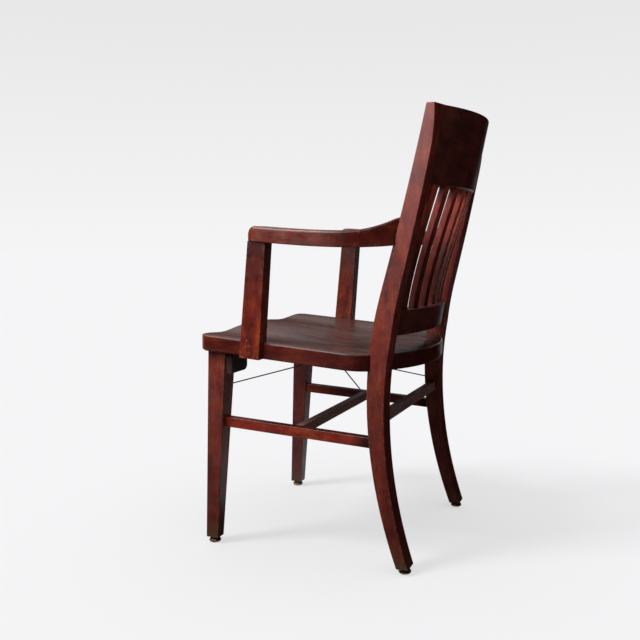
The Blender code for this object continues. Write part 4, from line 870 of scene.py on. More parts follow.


# Stained woods: the pieces, the way of the grain and what sets each apart. Painted shading is painted light
# and
# shade along one axis: the axis, two places along it and the brightness at each. It paints light that falls
# off towards the floor on the posts and legs, the arms' shadow on the tops of the arm posts, shade at the
# rear ends of the side bars and of the seat, and on the slats shade low down and light near the top. Bloom is
# grey mixed in, partly milky old varnish and partly painted sheen. Held makes the front half of the arm's
# outer side paler and greyer. Chips are their greatest share and the height of the piece's foot.
WOODS = {
    "post": ("posts", "Z", {"tone": 0.94, "painted_shading": (2, 0.02, 0.46, 0.58, 1.0), "bloom": 0.04, "feet": 0.8}),
    "leg": ("legs", "Z", {"painted_shading": (2, 0.02, 0.46, 0.55, 1.0), "bloom": 0.10, "feet": 0.8}),
    "slat": ("slats", "Z", {"tone": 1.2, "warm": 0.512, "painted_shading": (2, 0.60, 0.75, 0.42, 1.8)}),
    "support": ("arm posts", "Z", {"tone": 0.85, "warm": 0.513, "uneven": 0.5, "roughness": 0.36, "wear": 0.4,
                                   "chips": (0.9, 0.405), "painted_shading": (2, 0.50, 0.63, 1.0, 0.35)}),
    "arm": ("arms", "Y", {"tone": 0.42, "warm": 0.515, "uneven": 0.45, "roughness": 0.32, "wear": 0.15,
                          "held": True}),
    # The side bars' tops take the pore colour as painted shade from the seat above them
    "bar": ("side bars", "Y", {"tone": 1.2, "warm": 0.515, "haze": 0.9, "dust_and_painted_shade": "pore",
                               "painted_shading": (1, 0.06, 0.088, 1.0, 0.15)}),
    # The cross bars' high tone and bloom paint in light and sheen that their shaded faces don't get from the
    # lamps
    "cross_bar": ("cross bars", "X", {"tone": 1.6, "haze": 0.5, "bloom": 0.65}),
    "rail": ("back rails", "X", {"tone": 0.50, "wear": 0.05, "bloom": 0.04}),
    "saddle": ("seat boards", "Y", {"tone": 0.72, "warm": 0.512, "roughness": 0.37, "sheen_range": 0.05,
                                    "haze": 0.7, "dust_and_painted_shade": "sat_on", "wear": 0.15, "smear_length": 0.2,
                                    "painted_shading": (1, -0.02, 0.14, 1.0, 0.55), "boards": True}),
    "plug": ("plugs", "X", {"tone": 0.8, "roughness": 0.42, "haze": 0.3}),
}
OTHER_TITLES = {
    "block": "rough pine block", "wire": "drawn steel wire", "screw": "zinc-plated steel",
    "glide": "tarnished nickel", "cushion": "old rubber",
}
# Roughness and size of the tarnish spots
METALS = {"wire": (0.42, 0.006), "screw": (0.35, 0.003), "glide": (0.5, 0.004)}


def finish_of(key):
    """The chair's finish by name, made when first asked for."""
    finish = bpy.context.scene.chair_finish
    title = "varnished mahogany, " + WOODS[key][0] if key in WOODS else OTHER_TITLES[key]
    found = bpy.data.materials.get(title)
    if found:
        return found
    if key in WOODS:
        return stained_wood(title, WOODS[key][1], finish, **WOODS[key][2])
    if key in METALS:
        return old_metal(title, getattr(finish, key), *METALS[key])
    if key == "block":
        return sawn_wood(title, finish.block, finish.deep)
    return old_rubber(title, finish.cushion)


# Pieces

# Sections along each piece, enough for its curves to look smooth
POST_STEPS = 90
LEG_STEPS = 30
RAIL_STEPS = 64
SLAT_STEPS = 24
ARM_STEPS = 48
ARM_POST_STEPS = 16
BAR_STEPS = 20
SEAT_TOP_STEPS = 44
SEAT_SIDE_STEPS = 24
EDGE_STEPS = 26
CORNER_STEPS = 10
BEND_STEPS = 8
POST_TOP_STEPS = 4
SEAT_THICK_STEPS = 4
SEAT_ROUND_STEPS = 6
ARM_EDGE_STEPS = 6
ARM_NOSE_STEPS = 7
RAIL_FACE_STEPS = 9
GLIDE_FACETS = 40
PLUG_FACETS = 28
WIRE_FACETS = 12

# Foot chamfer of a leg or post, and where its plain sections start, as shares of the edge rounding
FOOT_CHAMFER = 0.6
CLEAR_OF_EDGE = 2

# Innermost rings of the seat's underside and top, as shares of the way in to its middle
UNDERSIDE_RING = 0.5
INMOST_RING = 0.985

# Domed end of a plug, as shares of its radius and of how far it stands out
PLUG_DOME = ((0.5, 1.0), (0.85, 0.7), (1.0, 0.0))


class CHAIR_OT_seat(bpy.types.Operator):
    """Carve the saddle seat and notch it round the posts"""

    bl_idname = "chair.seat"
    bl_label = "Saddle seat"

    def execute(self, context):
        shape = ChairShape(context.scene.chair_sizes)
        seat = linked("seat_blank", mesh_from(seat_blank(shape), "seat_blank"))
        cutters = []
        for side in SIDES.values():
            for bm in (post_solid(shape, shape.s.fit), arm_post_solid(shape, shape.s.fit)):
                cutters.append(linked("seat_cutter", mesh_from(on_side(bm, side), "seat_cutter")))
                boolean = seat.modifiers.new("notch", "BOOLEAN")
                boolean.object = cutters[-1]
                boolean.operation = "DIFFERENCE"
                boolean.solver = "EXACT"
        mesh = evaluated(seat)
        discard(seat, *cutters)
        dressed("saddle_seat", mesh, "saddle", ["seat"], smooth=35.0)
        return {"FINISHED"}


def seat_outline(shape):
    """Half of the seat's outline, from the middle of the front edge round to the middle of the rear."""
    s = shape.s
    half = s.seat_width / 2
    round_x = half - s.seat_front_corner
    round_y = shape.seat_front + s.seat_front_corner
    across = steps_between(0, round_x, EDGE_STEPS)
    points = [(x, shape.seat_front - s.seat_bow * (1 - (x / round_x) ** 2)) for x in across]
    points += arc_points(round_x, round_y, s.seat_front_corner, -90, 0, CORNER_STEPS)[1:]
    arc_y = shape.seat_rear - s.seat_rear_radius
    fillet_x = half - s.seat_rear_corner
    fillet_y = arc_y + math.sqrt((s.seat_rear_radius - s.seat_rear_corner) ** 2 - fillet_x ** 2)
    turn = math.degrees(math.atan2(fillet_y - arc_y, fillet_x))
    points += [(half, y) for y in steps_between(round_y, fillet_y, SEAT_SIDE_STEPS)[1:-1]]
    points += arc_points(fillet_x, fillet_y, s.seat_rear_corner, 0, turn, CORNER_STEPS)
    points += arc_points(0, arc_y, s.seat_rear_radius, turn, 90, EDGE_STEPS)[1:]
    return points


def seat_blank(shape):
    """Carved seat before its notches: a loft from the underside up over the edge and in to the middle."""
    s = shape.s
    half = seat_outline(shape)
    outline = half + [(-x, y) for x, y in reversed(half[1:-1])]
    middle = (s.front_edge + shape.seat_rear) / 2
    reach = s.seat_width / 2

    def ring(inset, height, wear):
        scale = 1 - inset / reach
        flat = [(x * scale, middle + (y - middle) * scale) for x, y in outline]
        return [((x, y, height(x, y)), wear) for x, y in flat]

    def under(rise):
        return lambda x, y: shape.seat_bottom(y) + rise

    def rim(drop):
        return lambda x, y: shape.seat_top(y) + min(0.0, shape.saddle(x, y)) - drop

    def carved(x, y):
        return shape.seat_top(y) + shape.saddle(x, y)

    rings = [ring(reach * UNDERSIDE_RING, under(0.0), 0.0)]
    rings.append(ring(s.seat_chamfer, under(0.0), CHAMFER_WEAR))
    rings.append(ring(0.0, under(s.seat_chamfer), CHAMFER_WEAR))
    for drop in steps_between(s.seat_thick - s.seat_chamfer, s.seat_round, SEAT_THICK_STEPS)[1:-1]:
        rings.append(ring(0.0, rim(drop), 0.0))
    for turn in steps_between(0, QUARTER, SEAT_ROUND_STEPS):
        height = rim(s.seat_round * (1 - math.sin(turn))) if turn < QUARTER else carved
        wear = FULL_WEAR if 0 < turn < QUARTER else SEAT_SHOULDER_WEAR
        rings.append(ring(s.seat_round * (1 - math.cos(turn)), height, wear))
    for part in steps_between(s.seat_round / reach, INMOST_RING, SEAT_TOP_STEPS)[1:]:
        rings.append(ring(reach * part, carved, 0.0))
    return loft(rings)


class CHAIR_OT_rear_posts(bpy.types.Operator):
    """Saw the swept rear posts and ease their edges"""

    bl_idname = "chair.rear_posts"
    bl_label = "Rear posts"

    def execute(self, context):
        shape = ChairShape(context.scene.chair_sizes)
        for side in SIDES:
            endings = ["_rear_post", "_seat_dowel_1", "_seat_dowel_2"]
            dressed_side(side, "_swept_post", post_solid(shape), "post", endings)
        return {"FINISHED"}


def foot_stations(low, edge, high, count):
    """Height, inset and wear of a leg's sections, from its chamfered foot up."""
    chamfer = edge * FOOT_CHAMFER
    stations = [(low, chamfer, CHAMFER_WEAR), (low + chamfer, 0.0, CHAMFER_WEAR)]
    return stations + [(z, 0.0, 0.0) for z in steps_between(low + edge * CLEAR_OF_EDGE, high, count)]


def post_solid(shape, grow=0.0):
    """Left rear post as sections up its height. Grown, it cuts its own notch."""
    s = shape.s
    edge = s.post_edge
    stations = foot_stations(s.glide_height, edge, s.height - edge * CLEAR_OF_EDGE, POST_STEPS)
    for turn in steps_between(0, QUARTER, POST_TOP_STEPS):
        stations.append((s.height - edge * (1 - math.sin(turn)), edge * (1 - math.cos(turn)), FULL_WEAR))
    rings = []
    for z, shrink, worn in stations:
        move = shrink - grow
        inner, outer = shape.post_inner(z), shape.post_outer(z)
        front, rear = shape.post_front(z), shape.post_rear(z)
        ring = []
        for x, y, mark in rounded_section(inner + move, outer - move, front + move, rear - move, edge):
            rolled = shape.post_skew(z) * (x - inner) / s.post_thick * (y - front) / (rear - front)
            ring.append(((x, y - rolled, z), max(mark, worn)))
        rings.append(ring)
    return loft(rings)


class CHAIR_OT_back_rails(bpy.types.Operator):
    """Shape the broad crest rail and the lower back rail"""

    bl_idname = "chair.back_rails"
    bl_label = "Back rails"

    def execute(self, context):
        shape = ChairShape(context.scene.chair_sizes)
        crest = rail_solid(shape, shape.crest_low, shape.s.height, shape.crest_end)
        dressed("curved_crest_rail", mesh_from(crest, "crest"), "rail", ["crest_rail"])
        lower = rail_solid(shape, shape.rail_low, shape.rail_high, shape.rail_end)
        dressed("curved_lower_rail", mesh_from(lower, "rail"), "rail", ["lower_back_rail"])
        return {"FINISHED"}


def rail_solid(shape, low, high, end_thick):
    """Curved rail between the posts, thicker in the middle, with level edges."""
    s = shape.s
    section = rounded_section(0, s.rail_mid_thick, low, high, s.rail_edge, along=RAIL_FACE_STEPS)
    reach = shape.post_inner((low + high) / 2)
    rings = []
    for part in steps_between(-1, 1, RAIL_STEPS):
        ring = []
        for depth, z, mark in section:
            thick = between(s.rail_mid_thick, end_thick(z), part ** 2)
            y = shape.back_front(reach * part, z) + depth * thick / s.rail_mid_thick
            ring.append((((shape.post_inner(z) - s.fit) * part, y, z), mark))
        rings.append(ring)
    return loft(rings)


class CHAIR_OT_back_slats(bpy.types.Operator):
    """Set the slats between the rails, fanned and leaned by the curve of the back"""

    bl_idname = "chair.back_slats"
    bl_label = "Back slats"

    def execute(self, context):
        shape = ChairShape(context.scene.chair_sizes)
        s = shape.s
        middle = (shape.rail_high + shape.crest_low) / 2
        span = 2 * shape.post_inner(middle)
        gap = (span - s.slat_count * s.slat_width) / (s.slat_count - 1 + 2 * s.slat_end_gap)
        foot = shape.back_front(0, shape.rail_high) + s.slat_foot
        head = shape.back_front(0, shape.crest_low) + s.slat_head
        rise = shape.crest_low - shape.rail_high
        values = {
            "Count": s.slat_count, "Pitch": gap + s.slat_width, "Width": s.slat_width,
            "Thickness": s.slat_thick, "Edge": s.slat_edge, "Rise": rise, "Tenon": s.slat_tenon,
            "Lean": (head - foot) / rise, "Bow": s.slat_bow, "Bow place": s.slat_bow_place,
            "Crowding": s.slat_crowding, "Back radius": s.back_radius, "Middle front": (foot + head) / 2,
            "Middle height": middle,
        }
        tree, given = new_geometry("fanned slats", values)
        points, turn = slat_places(tree, given)
        euler = add(tree, "ShaderNodeCombineXYZ", {2: turn})
        facing = add(tree, "FunctionNodeEulerToRotation", {0: euler})
        stick = slat_stick(tree, given)
        slats = add(tree, "GeometryNodeInstanceOnPoints",
                    {"Points": points, "Instance": stick, "Rotation": facing})
        mesh = grown("slats", bpy.data.meshes.new("slat_seed"), tree, slats, "slat", values)
        nodes = ["back_slat_%d" % number for number in range(1, s.slat_count + 1)]
        dressed("fanned_back_slats", mesh, "slat", nodes)
        return {"FINISHED"}


def slat_places(tree, given):
    """Points along the back's arc, and the turn about the vertical at each."""
    index = add(tree, "GeometryNodeInputIndex")
    last = add(tree, "ShaderNodeMath", {0: given["Count"], 1: 1.0}, operation="SUBTRACT")
    half = add(tree, "ShaderNodeMath", {0: last, 1: 0.5}, operation="MULTIPLY")
    step = add(tree, "ShaderNodeMath", {0: half, 1: index}, operation="SUBTRACT")
    even = add(tree, "ShaderNodeMath", {0: step, 1: given["Pitch"]}, operation="MULTIPLY")
    # Towards the posts the slats stand a little closer
    part = add(tree, "ShaderNodeMath", {0: step, 1: half}, operation="DIVIDE")
    part = add(tree, "ShaderNodeMath", {0: part, 1: part}, operation="MULTIPLY")
    part = add(tree, "ShaderNodeMath", {0: part, 1: given["Crowding"]}, operation="MULTIPLY")
    part = add(tree, "ShaderNodeMath", {0: 1.0, 1: part}, operation="SUBTRACT")
    x = add(tree, "ShaderNodeMath", {0: even, 1: part}, operation="MULTIPLY")
    sine = add(tree, "ShaderNodeMath", {0: x, 1: given["Back radius"]}, operation="DIVIDE")
    turn = add(tree, "ShaderNodeMath", {0: sine}, operation="ARCSINE")
    cosine = add(tree, "ShaderNodeMath", {0: turn}, operation="COSINE")
    sag = add(tree, "ShaderNodeMath", {0: cosine, 1: 1.0}, operation="SUBTRACT")
    sag = add(tree, "ShaderNodeMath", {0: sag, 1: given["Back radius"]}, operation="MULTIPLY")
    y = add(tree, "ShaderNodeMath", {0: sag, 1: given["Middle front"]}, operation="ADD")
    middle = add(tree, "ShaderNodeCombineXYZ", {0: x, 1: y, 2: given["Middle height"]})
    points = add(tree, "GeometryNodePoints", {"Count": given["Count"], "Position": middle})
    return points, add(tree, "ShaderNodeMath", {0: turn, 1: -1.0}, operation="MULTIPLY")


def slat_stick(tree, given):
    """One slat: a rectangle with rounded corners, carried up a line into both rails, leaned and bent."""
    outline = add(tree, "GeometryNodeCurvePrimitiveQuadrilateral",
                  {"Width": given["Width"], "Height": given["Thickness"]})
    outline = add(tree, "GeometryNodeFilletCurve", {"Curve": outline, "Count": 4, "Radius": given["Edge"]},
                  mode="POLY")
    up = add(tree, "ShaderNodeMath", {0: given["Rise"], 1: 0.5, 2: given["Tenon"]}, operation="MULTIPLY_ADD")
    down = add(tree, "ShaderNodeMath", {0: up, 1: -1.0}, operation="MULTIPLY")
    low = add(tree, "ShaderNodeCombineXYZ", {2: down})
    high = add(tree, "ShaderNodeCombineXYZ", {2: up})
    line = add(tree, "GeometryNodeCurvePrimitiveLine", {"Start": low, "End": high})
    line = add(tree, "GeometryNodeResampleCurve", {"Curve": line, "Count": SLAT_STEPS})
    line = add(tree, "GeometryNodeSetCurveNormal", {"Curve": line, "Normal": (1, 0, 0)}, mode="FREE")
    stick = add(tree, "GeometryNodeCurveToMesh", {"Curve": line, "Profile Curve": outline, "Fill Caps": True})
    # Lean by a shear, which keeps the ends level, and bring the front face to the point
    height = add(tree, "ShaderNodeSeparateXYZ", {0: add(tree, "GeometryNodeInputPosition")}, 2)
    middle = add(tree, "ShaderNodeMath", {0: given["Thickness"], 1: 0.5}, operation="MULTIPLY")
    lean = add(tree, "ShaderNodeMath", {0: height, 1: given["Lean"], 2: middle}, operation="MULTIPLY_ADD")
    # Bend forward, deepest below the middle
    bend = height
    for operation, value in (("DIVIDE", given["Rise"]), ("ADD", 0.5), ("POWER", given["Bow place"]),
                             ("MULTIPLY", math.pi), ("SINE", 0.0), ("MULTIPLY", given["Bow"])):
        clamp = operation == "ADD"
        bend = add(tree, "ShaderNodeMath", {0: bend, 1: value}, operation=operation, use_clamp=clamp)
    lean = add(tree, "ShaderNodeMath", {0: lean, 1: bend}, operation="SUBTRACT")
    offset = add(tree, "ShaderNodeCombineXYZ", {1: lean})
    return add(tree, "GeometryNodeSetPosition", {"Geometry": stick, "Offset": offset})


class CHAIR_OT_front_legs(bpy.types.Operator):
    """Taper the front legs"""

    bl_idname = "chair.front_legs"
    bl_label = "Front legs"

    def execute(self, context):
        shape = ChairShape(context.scene.chair_sizes)
        for side in SIDES:
            dressed_side(side, "_tapered_leg", leg_solid(shape), "leg", ["_front_leg"])
        return {"FINISHED"}


def leg_solid(shape):
    """Left front leg as sections up its height, its top cut to the seat's underside."""
    s = shape.s
    rings = []
    for z, shrink, worn in foot_stations(s.glide_height, s.leg_edge, shape.leg_top, LEG_STEPS):
        section = rounded_section(shape.leg_inner(z) + shrink, shape.leg_outer(z) - shrink,
                                  shape.leg_front(z) + shrink, shape.leg_rear(z) - shrink, s.leg_edge)
        rings.append([((x, y, z), max(mark, worn)) for x, y, mark in section])
    rings[-1] = [((x, y, shape.seat_bottom(y) - s.fit), mark) for (x, y, z), mark in rings[-1]]
    return loft(rings)


class CHAIR_OT_arms(bpy.types.Operator):
    """Shape the low arms and the short posts under them"""

    bl_idname = "chair.arms"
    bl_label = "Arms and arm posts"

    def execute(self, context):
        shape = ChairShape(context.scene.chair_sizes)
        for side in SIDES:
            dressed_side(side, "_shaped_arm", arm_solid(shape), "arm", ["_arm"])
            endings = ["_arm_post", "_arm_post_screw_1", "_arm_post_screw_2"]
            dressed_side(side, "_arm_support", arm_post_solid(shape), "support", endings)
        return {"FINISHED"}


def arm_solid(shape):
    """Left arm as sections along its length, with a rounded nose and an end that fits the post."""
    s = shape.s
    stations = []
    for turn in steps_between(0, QUARTER, ARM_NOSE_STEPS):
        y = shape.arm_front + s.arm_nose * (1 - math.cos(turn))
        stations.append((y, s.arm_nose * (1 - math.sin(turn))))
    body = steps_between(shape.arm_front + s.arm_nose, shape.arm_front + shape.arm_length, ARM_STEPS)
    stations += [(y, 0.0) for y in body[1:]]
    rings = []
    for y, inset in stations:
        side = inset * s.arm_nose_side / s.arm_nose
        section = rounded_section(shape.arm_inner(y) + side, shape.arm_outer(y) - side, shape.arm_bottom(y),
                                  shape.arm_top(y) - inset, s.arm_edge, s.arm_lower_edge, ARM_EDGE_STEPS)
        worn = NOSE_WEAR if inset > 0 else 0.0
        rings.append([((x, y, z), max(mark, worn)) for x, z, mark in section])
    rings[-1] = [((x, shape.arm_rear(z), z), mark) for (x, y, z), mark in rings[-1]]
    return loft(rings)


def arm_post_solid(shape, grow=0.0):
    """Left arm post, flush with the seat's underside and cut to the arm's underside."""
    s = shape.s
    low = s.seat_height - s.seat_thick
    high = shape.arm_top_front - s.arm_thick
    rings = []
    for part in steps_between(0, 1, ARM_POST_STEPS):
        z = between(low, high, part)
        front = shape.arm_post_front(z) - grow
        rear = front + shape.arm_post_depth(z) + 2 * grow
        worn = CUT_END_WEAR if part == 0 else 0.0
        section = rounded_section(shape.arm_post_inner - grow, shape.arm_post_outer + grow, front, rear,
                                  s.arm_post_edge)
        ring = []
        for x, y, mark in section:
            level = between(shape.seat_bottom(y) - grow, shape.arm_bottom(y) - s.fit, part)
            ring.append(((x, y, level), max(mark, worn)))
        rings.append(ring)
    return loft(rings)


class CHAIR_OT_stretchers(bpy.types.Operator):
    """Fit the side stretchers, the cross stretcher and the rear stretcher"""

    bl_idname = "chair.stretchers"
    bl_label = "Stretchers"

    def execute(self, context):
        shape = ChairShape(context.scene.chair_sizes)
        for side in SIDES:
            dressed_side(side, "_side_bar", side_stretcher_solid(shape), "bar", ["_side_stretcher"])
        cross_z = shape.stretcher_z(shape.cross_y)
        cross = bar_solid(shape, shape.cross_y, cross_z, lambda z: shape.stretcher_inner)
        dressed("cross_bar", mesh_from(cross, "cross"), "cross_bar", ["cross_stretcher"])
        high = shape.s.rear_bar_height
        rear = bar_solid(shape, (shape.post_front(high) + shape.post_rear(high)) / 2, high, shape.post_inner)
        dressed("rear_bar", mesh_from(rear, "rear"), "cross_bar", ["rear_stretcher"])
        return {"FINISHED"}


def side_stretcher_solid(shape):
    """Left side stretcher, its ends cut to the leg and the post."""
    s = shape.s
    half = s.stretcher_height / 2
    outer = shape.stretcher_inner + s.stretcher_thick
    section = rounded_section(shape.stretcher_inner, outer, -half, half, s.stretcher_edge)
    rings = []
    for part in steps_between(0, 1, BAR_STEPS):
        ring = []
        for x, offset, mark in section:
            front = s.stretcher_front + offset
            rear = s.stretcher_rear + offset
            y = between(shape.leg_rear(front) + s.fit, shape.post_front(rear) - s.fit, part)
            ring.append(((x, y, between(front, rear, part)), mark))
        rings.append(ring)
    return loft(rings)


def bar_solid(shape, y, z, end_x):
    """Bar across the chair whose ends lie at end_x for each height."""
    s = shape.s
    half_y = s.bar_thick / 2
    half_z = s.bar_height / 2
    section = rounded_section(y - half_y, y + half_y, z - half_z, z + half_z, s.stretcher_edge)
    rings = []
    for part in steps_between(-1, 1, BAR_STEPS):
        rings.append([(((end_x(v) - s.fit) * part, u, v), mark) for u, v, mark in section])
    return loft(rings)


class CHAIR_OT_corner_blocks(bpy.types.Operator):
    """Cut the corner blocks behind the front legs"""

    bl_idname = "chair.corner_blocks"
    bl_label = "Corner blocks"

    def execute(self, context):
        shape = ChairShape(context.scene.chair_sizes)
        for side in SIDES:
            endings = ["_corner_block", "_corner_block_screw_1", "_corner_block_screw_2"]
            dressed_side(side, "_glue_block", block_solid(shape), "block", endings)
        return {"FINISHED"}


def block_solid(shape):
    """Left corner block, with its lower inner corner rounded and its edges broken."""
    s = shape.s
    front = shape.leg_rear(shape.seat_bottom(shape.leg_rear(shape.leg_top))) + s.fit
    rear = front + s.block_thick
    outer = shape.leg_outer(shape.leg_top) - s.block_inset
    inner = outer - s.block_length
    high = shape.seat_bottom(rear) - s.fit
    low = high - s.block_height
    edge = s.block_edge
    rings = []
    for y, inset in ((front, edge), (front + edge, 0.0), (rear - edge, 0.0), (rear, edge)):
        outline = [(outer - inset, low + inset), (outer - inset, high), (inner + inset, high)]
        radius = s.block_corner - inset
        outline += arc_points(inner + s.block_corner, low + s.block_corner, radius, 180, 270, BEND_STEPS)
        rings.append([((x, y, z), 0.0) for x, z in outline])
    return loft(rings)


class CHAIR_OT_bracing(bpy.types.Operator):
    """Run the bracing wires from the legs to the hub under the seat"""

    bl_idname = "chair.bracing"
    bl_label = "Wire bracing"

    def execute(self, context):
        shape = ChairShape(context.scene.chair_sizes)
        points = []
        edges = []
        for side in SIDES.values():
            for end in ENDS:
                first = len(points)
                points += [(side * p.x, p.y, p.z) for p in wire_path(shape, end)]
                edges += [(i, i + 1) for i in range(first, len(points) - 1)]
        seed = bpy.data.meshes.new("wire_paths")
        seed.from_pydata(points, edges, [])
        values = {"Radius": shape.s.wire_radius}
        tree, given = new_geometry("round wires", values)
        paths = add(tree, "GeometryNodeMeshToCurve", {0: given["Geometry"]})
        section = add(tree, "GeometryNodeCurvePrimitiveCircle",
                      {"Resolution": WIRE_FACETS, "Radius": given["Radius"]})
        wires = add(tree, "GeometryNodeCurveToMesh",
                    {"Curve": paths, "Profile Curve": section, "Fill Caps": True})
        mesh = grown("wires", seed, tree, wires, "wire", values)
        nodes = ["brace_wire_%s_%s" % (end, name) for name in SIDES for end in ENDS]
        dressed("bracing_wires", mesh, "wire", nodes, smooth=60.0)
        refinish("brace_hub", "wire")
        refinish("hub_screw", "screw")
        return {"FINISHED"}


def wire_path(shape, end):
    """Left wire, from inside the leg or post to the hook that stands up through the hub's plate."""
    s = shape.s
    if end == "front":
        anchor = Vector((shape.leg_inner(s.wire_front), shape.leg_rear(s.wire_front), s.wire_front))
    else:
        anchor = Vector((shape.post_inner(s.wire_rear), shape.post_front(s.wire_rear), s.wire_rear))
    hub = shape.hub_place()
    local = hub.inverted() @ anchor
    outward = Vector((local.x, local.y, 0)).normalized()
    upward = Vector((0, 0, 1))
    hook = outward * s.hub_hook
    path = [hook + upward * (s.hub_plate - s.hub_drop + s.hook_stub)]
    for turn in steps_between(0, QUARTER, BEND_STEPS):
        out = s.wire_bend * (1 - math.cos(turn))
        down = s.hub_drop + s.wire_radius + s.wire_bend * math.sin(turn)
        path.append(hook + outward * out - upward * down)
    path = [hub @ point for point in path]
    path.append(anchor + (anchor - path[-1]).normalized() * s.wire_socket)
    return path


class CHAIR_OT_glides(bpy.types.Operator):
    """Nail a domed glide under each foot"""

    bl_idname = "chair.glides"
    bl_label = "Glides"

    def execute(self, context):
        shape = ChairShape(context.scene.chair_sizes)
        s = shape.s
        foot = s.glide_height
        feet = ((shape.leg_outer, shape.leg_inner, shape.leg_front, shape.leg_rear),
                (shape.post_outer, shape.post_inner, shape.post_front, shape.post_rear))
        places = []
        for side in SIDES.values():
            for outer, inner, front, rear in feet:
                places.append((side * (outer(foot) + inner(foot)) / 2, (front(foot) + rear(foot)) / 2, 0))
        rim = s.glide_base - s.fit
        profile = [(s.glide_sole / 2, rim), (s.glide_radius - s.glide_rim, rim),
                   (s.glide_radius - s.glide_lip, rim - s.glide_lip_drop)]
        for turn in steps_between(QUARTER, 0, BEND_STEPS):
            radius = between(s.glide_sole, s.glide_radius, math.sin(turn))
            profile.append((radius, s.glide_base * s.glide_curve * (1 - math.cos(turn))))
        mesh = repeated("domed_glides", turned(profile, GLIDE_FACETS), places, "glide")
        corners = ["%s_%s" % (end, name) for name in SIDES for end in ENDS]
        dressed("domed_glides", mesh, "glide", ["glide_base_" + corner for corner in corners])
        for corner in corners:
            refinish("glide_cushion_" + corner, "cushion")
        return {"FINISHED"}


class CHAIR_OT_plugs(bpy.types.Operator):
    """Drive the wood plugs over the arm post screws"""

    bl_idname = "chair.plugs"
    bl_label = "Wood plugs"

    def execute(self, context):
        shape = ChairShape(context.scene.chair_sizes)
        s = shape.s
        low = s.seat_height - s.seat_thick
        y = shape.arm_post_front(low) + shape.arm_post_depth(low) / 2
        middle = shape.seat_top(y) - s.seat_thick / 2
        half = s.plug_spacing / 2
        profile = [(s.plug_radius * out, s.plug_proud * up) for out, up in PLUG_DOME]
        profile.append((s.plug_radius, -s.plug_length))
        for name, side in SIDES.items():
            places = [(side * shape.arm_post_outer, y, middle + offset) for offset in (-half, half)]
            bm = turned(profile, PLUG_FACETS)
            bmesh.ops.transform(bm, matrix=Matrix.Rotation(side * QUARTER, 4, "Y"), verts=bm.verts)
            mesh = repeated(name + "_screw_plugs", bm, places, "plug")
            nodes = [name + "_arm_post_plug_1", name + "_arm_post_plug_2"]
            dressed(name + "_screw_plugs", mesh, "plug", nodes)
        return {"FINISHED"}


# Studio

SENSOR_WIDTH = 36.0
FLOOR_RADIUS = 40.0
FLOOR_FACETS = 96
STRAIGHT_DOWN = (0.0, 0.0, -1.0)

# Black cloth: a sheet on the floor, a wall from the front left round the rear to the right, and a low wall at
# the front right. Each is the (radius, height) of both its edges, and the turns from +X, in degrees, between
# which it stands.
CLOTH_REACH = 2.4
CLOTH_LOW = 0.003
CLOTH_STEPS = 48
CLOTH = (
    ((0.02, CLOTH_LOW), (CLOTH_REACH, CLOTH_LOW), -80, 178),
    ((CLOTH_REACH, CLOTH_LOW), (CLOTH_REACH, 2.8), -80, 174),
    ((CLOTH_REACH, CLOTH_LOW), (CLOTH_REACH, 1.25), 190, 235),
)


class CHAIR_OT_studio(bpy.types.Operator):
    """Set the pale floor, the soft lights and the camera"""

    bl_idname = "chair.studio"
    bl_label = "Studio"

    def execute(self, context):
        settings = context.scene.chair_studio
        floor = staged("studio_floor", floor_sheet(), studio_paper(settings))
        floor.data.shade_smooth()
        flag = staged("black_flag", flag_cloth(), black_velvet(settings))
        for kind in ("camera", "diffuse", "shadow", "transmission"):
            setattr(flag, "visible_" + kind, False)
        light_chair(settings, floor)
        world = bpy.data.worlds.new("studio")
        world.use_nodes = True
        context.scene.world = world
        world_light(world.node_tree, settings)
        camera = linked("camera", bpy.data.cameras.new("camera"))
        camera.data.lens = settings.lens
        camera.data.sensor_width = SENSOR_WIDTH
        camera.location = settings.camera
        level = math.cos(settings.pitch)
        ahead = (-math.cos(settings.yaw) * level, -math.sin(settings.yaw) * level, -math.sin(settings.pitch))
        camera.rotation_euler = looking(ahead)
        context.scene.camera = camera
        context.scene.view_settings.view_transform = "Standard"
        return {"FINISHED"}


def looking(way):
    """Turn of a camera or lamp that faces one way."""
    return Vector(way).to_track_quat("-Z", "Y").to_euler()


def staged(name, bm, material):
    """A thing of the studio, which isn't part of the chair."""
    thing = linked(name, mesh_from(bm, name))
    thing.data.materials.append(material)
    return thing


def lamp(name, kind, power, way, **shape):
    """Light of a kind that shines one way."""
    light = bpy.data.lights.new(name, kind)
    light.energy = power
    for key, value in shape.items():
        setattr(light, key, value)
    holder = linked(name, light)
    holder.rotation_euler = looking(way)
    return holder


def light_chair(settings, floor):
    """Softbox and weak fill for the chair, a broad light for all, and one from above for the floor."""
    softbox = lamp("softbox", "AREA", settings.softbox, settings.softbox_aim - settings.softbox_place,
                   shape="RECTANGLE", size=settings.softbox_width, size_y=settings.softbox_height)
    softbox.location = settings.softbox_place
    fill = lamp("rear_fill", "AREA", settings.fill, settings.fill_aim - settings.fill_place,
                shape="RECTANGLE", size=settings.fill_size, size_y=settings.fill_size)
    fill.location = settings.fill_place
    fill.visible_glossy = False
    # Neither is seen, and both leave the floor evenly lit
    unlit = bpy.data.collections.new("lit from above only")
    unlit.objects.link(floor)
    unlit.collection_objects[0].light_linking.link_state = "EXCLUDE"
    for soft in (softbox, fill):
        soft.visible_camera = False
        soft.light_linking.receiver_collection = unlit
    lamp("overhead_light", "SUN", settings.overhead, settings.overhead_way, angle=settings.overhead_spread)
    sky = lamp("floor_light", "SUN", settings.sky, STRAIGHT_DOWN, angle=settings.sky_spread)
    sky.light_linking.receiver_collection = bpy.data.collections.new("floor")
    sky.light_linking.receiver_collection.objects.link(floor)


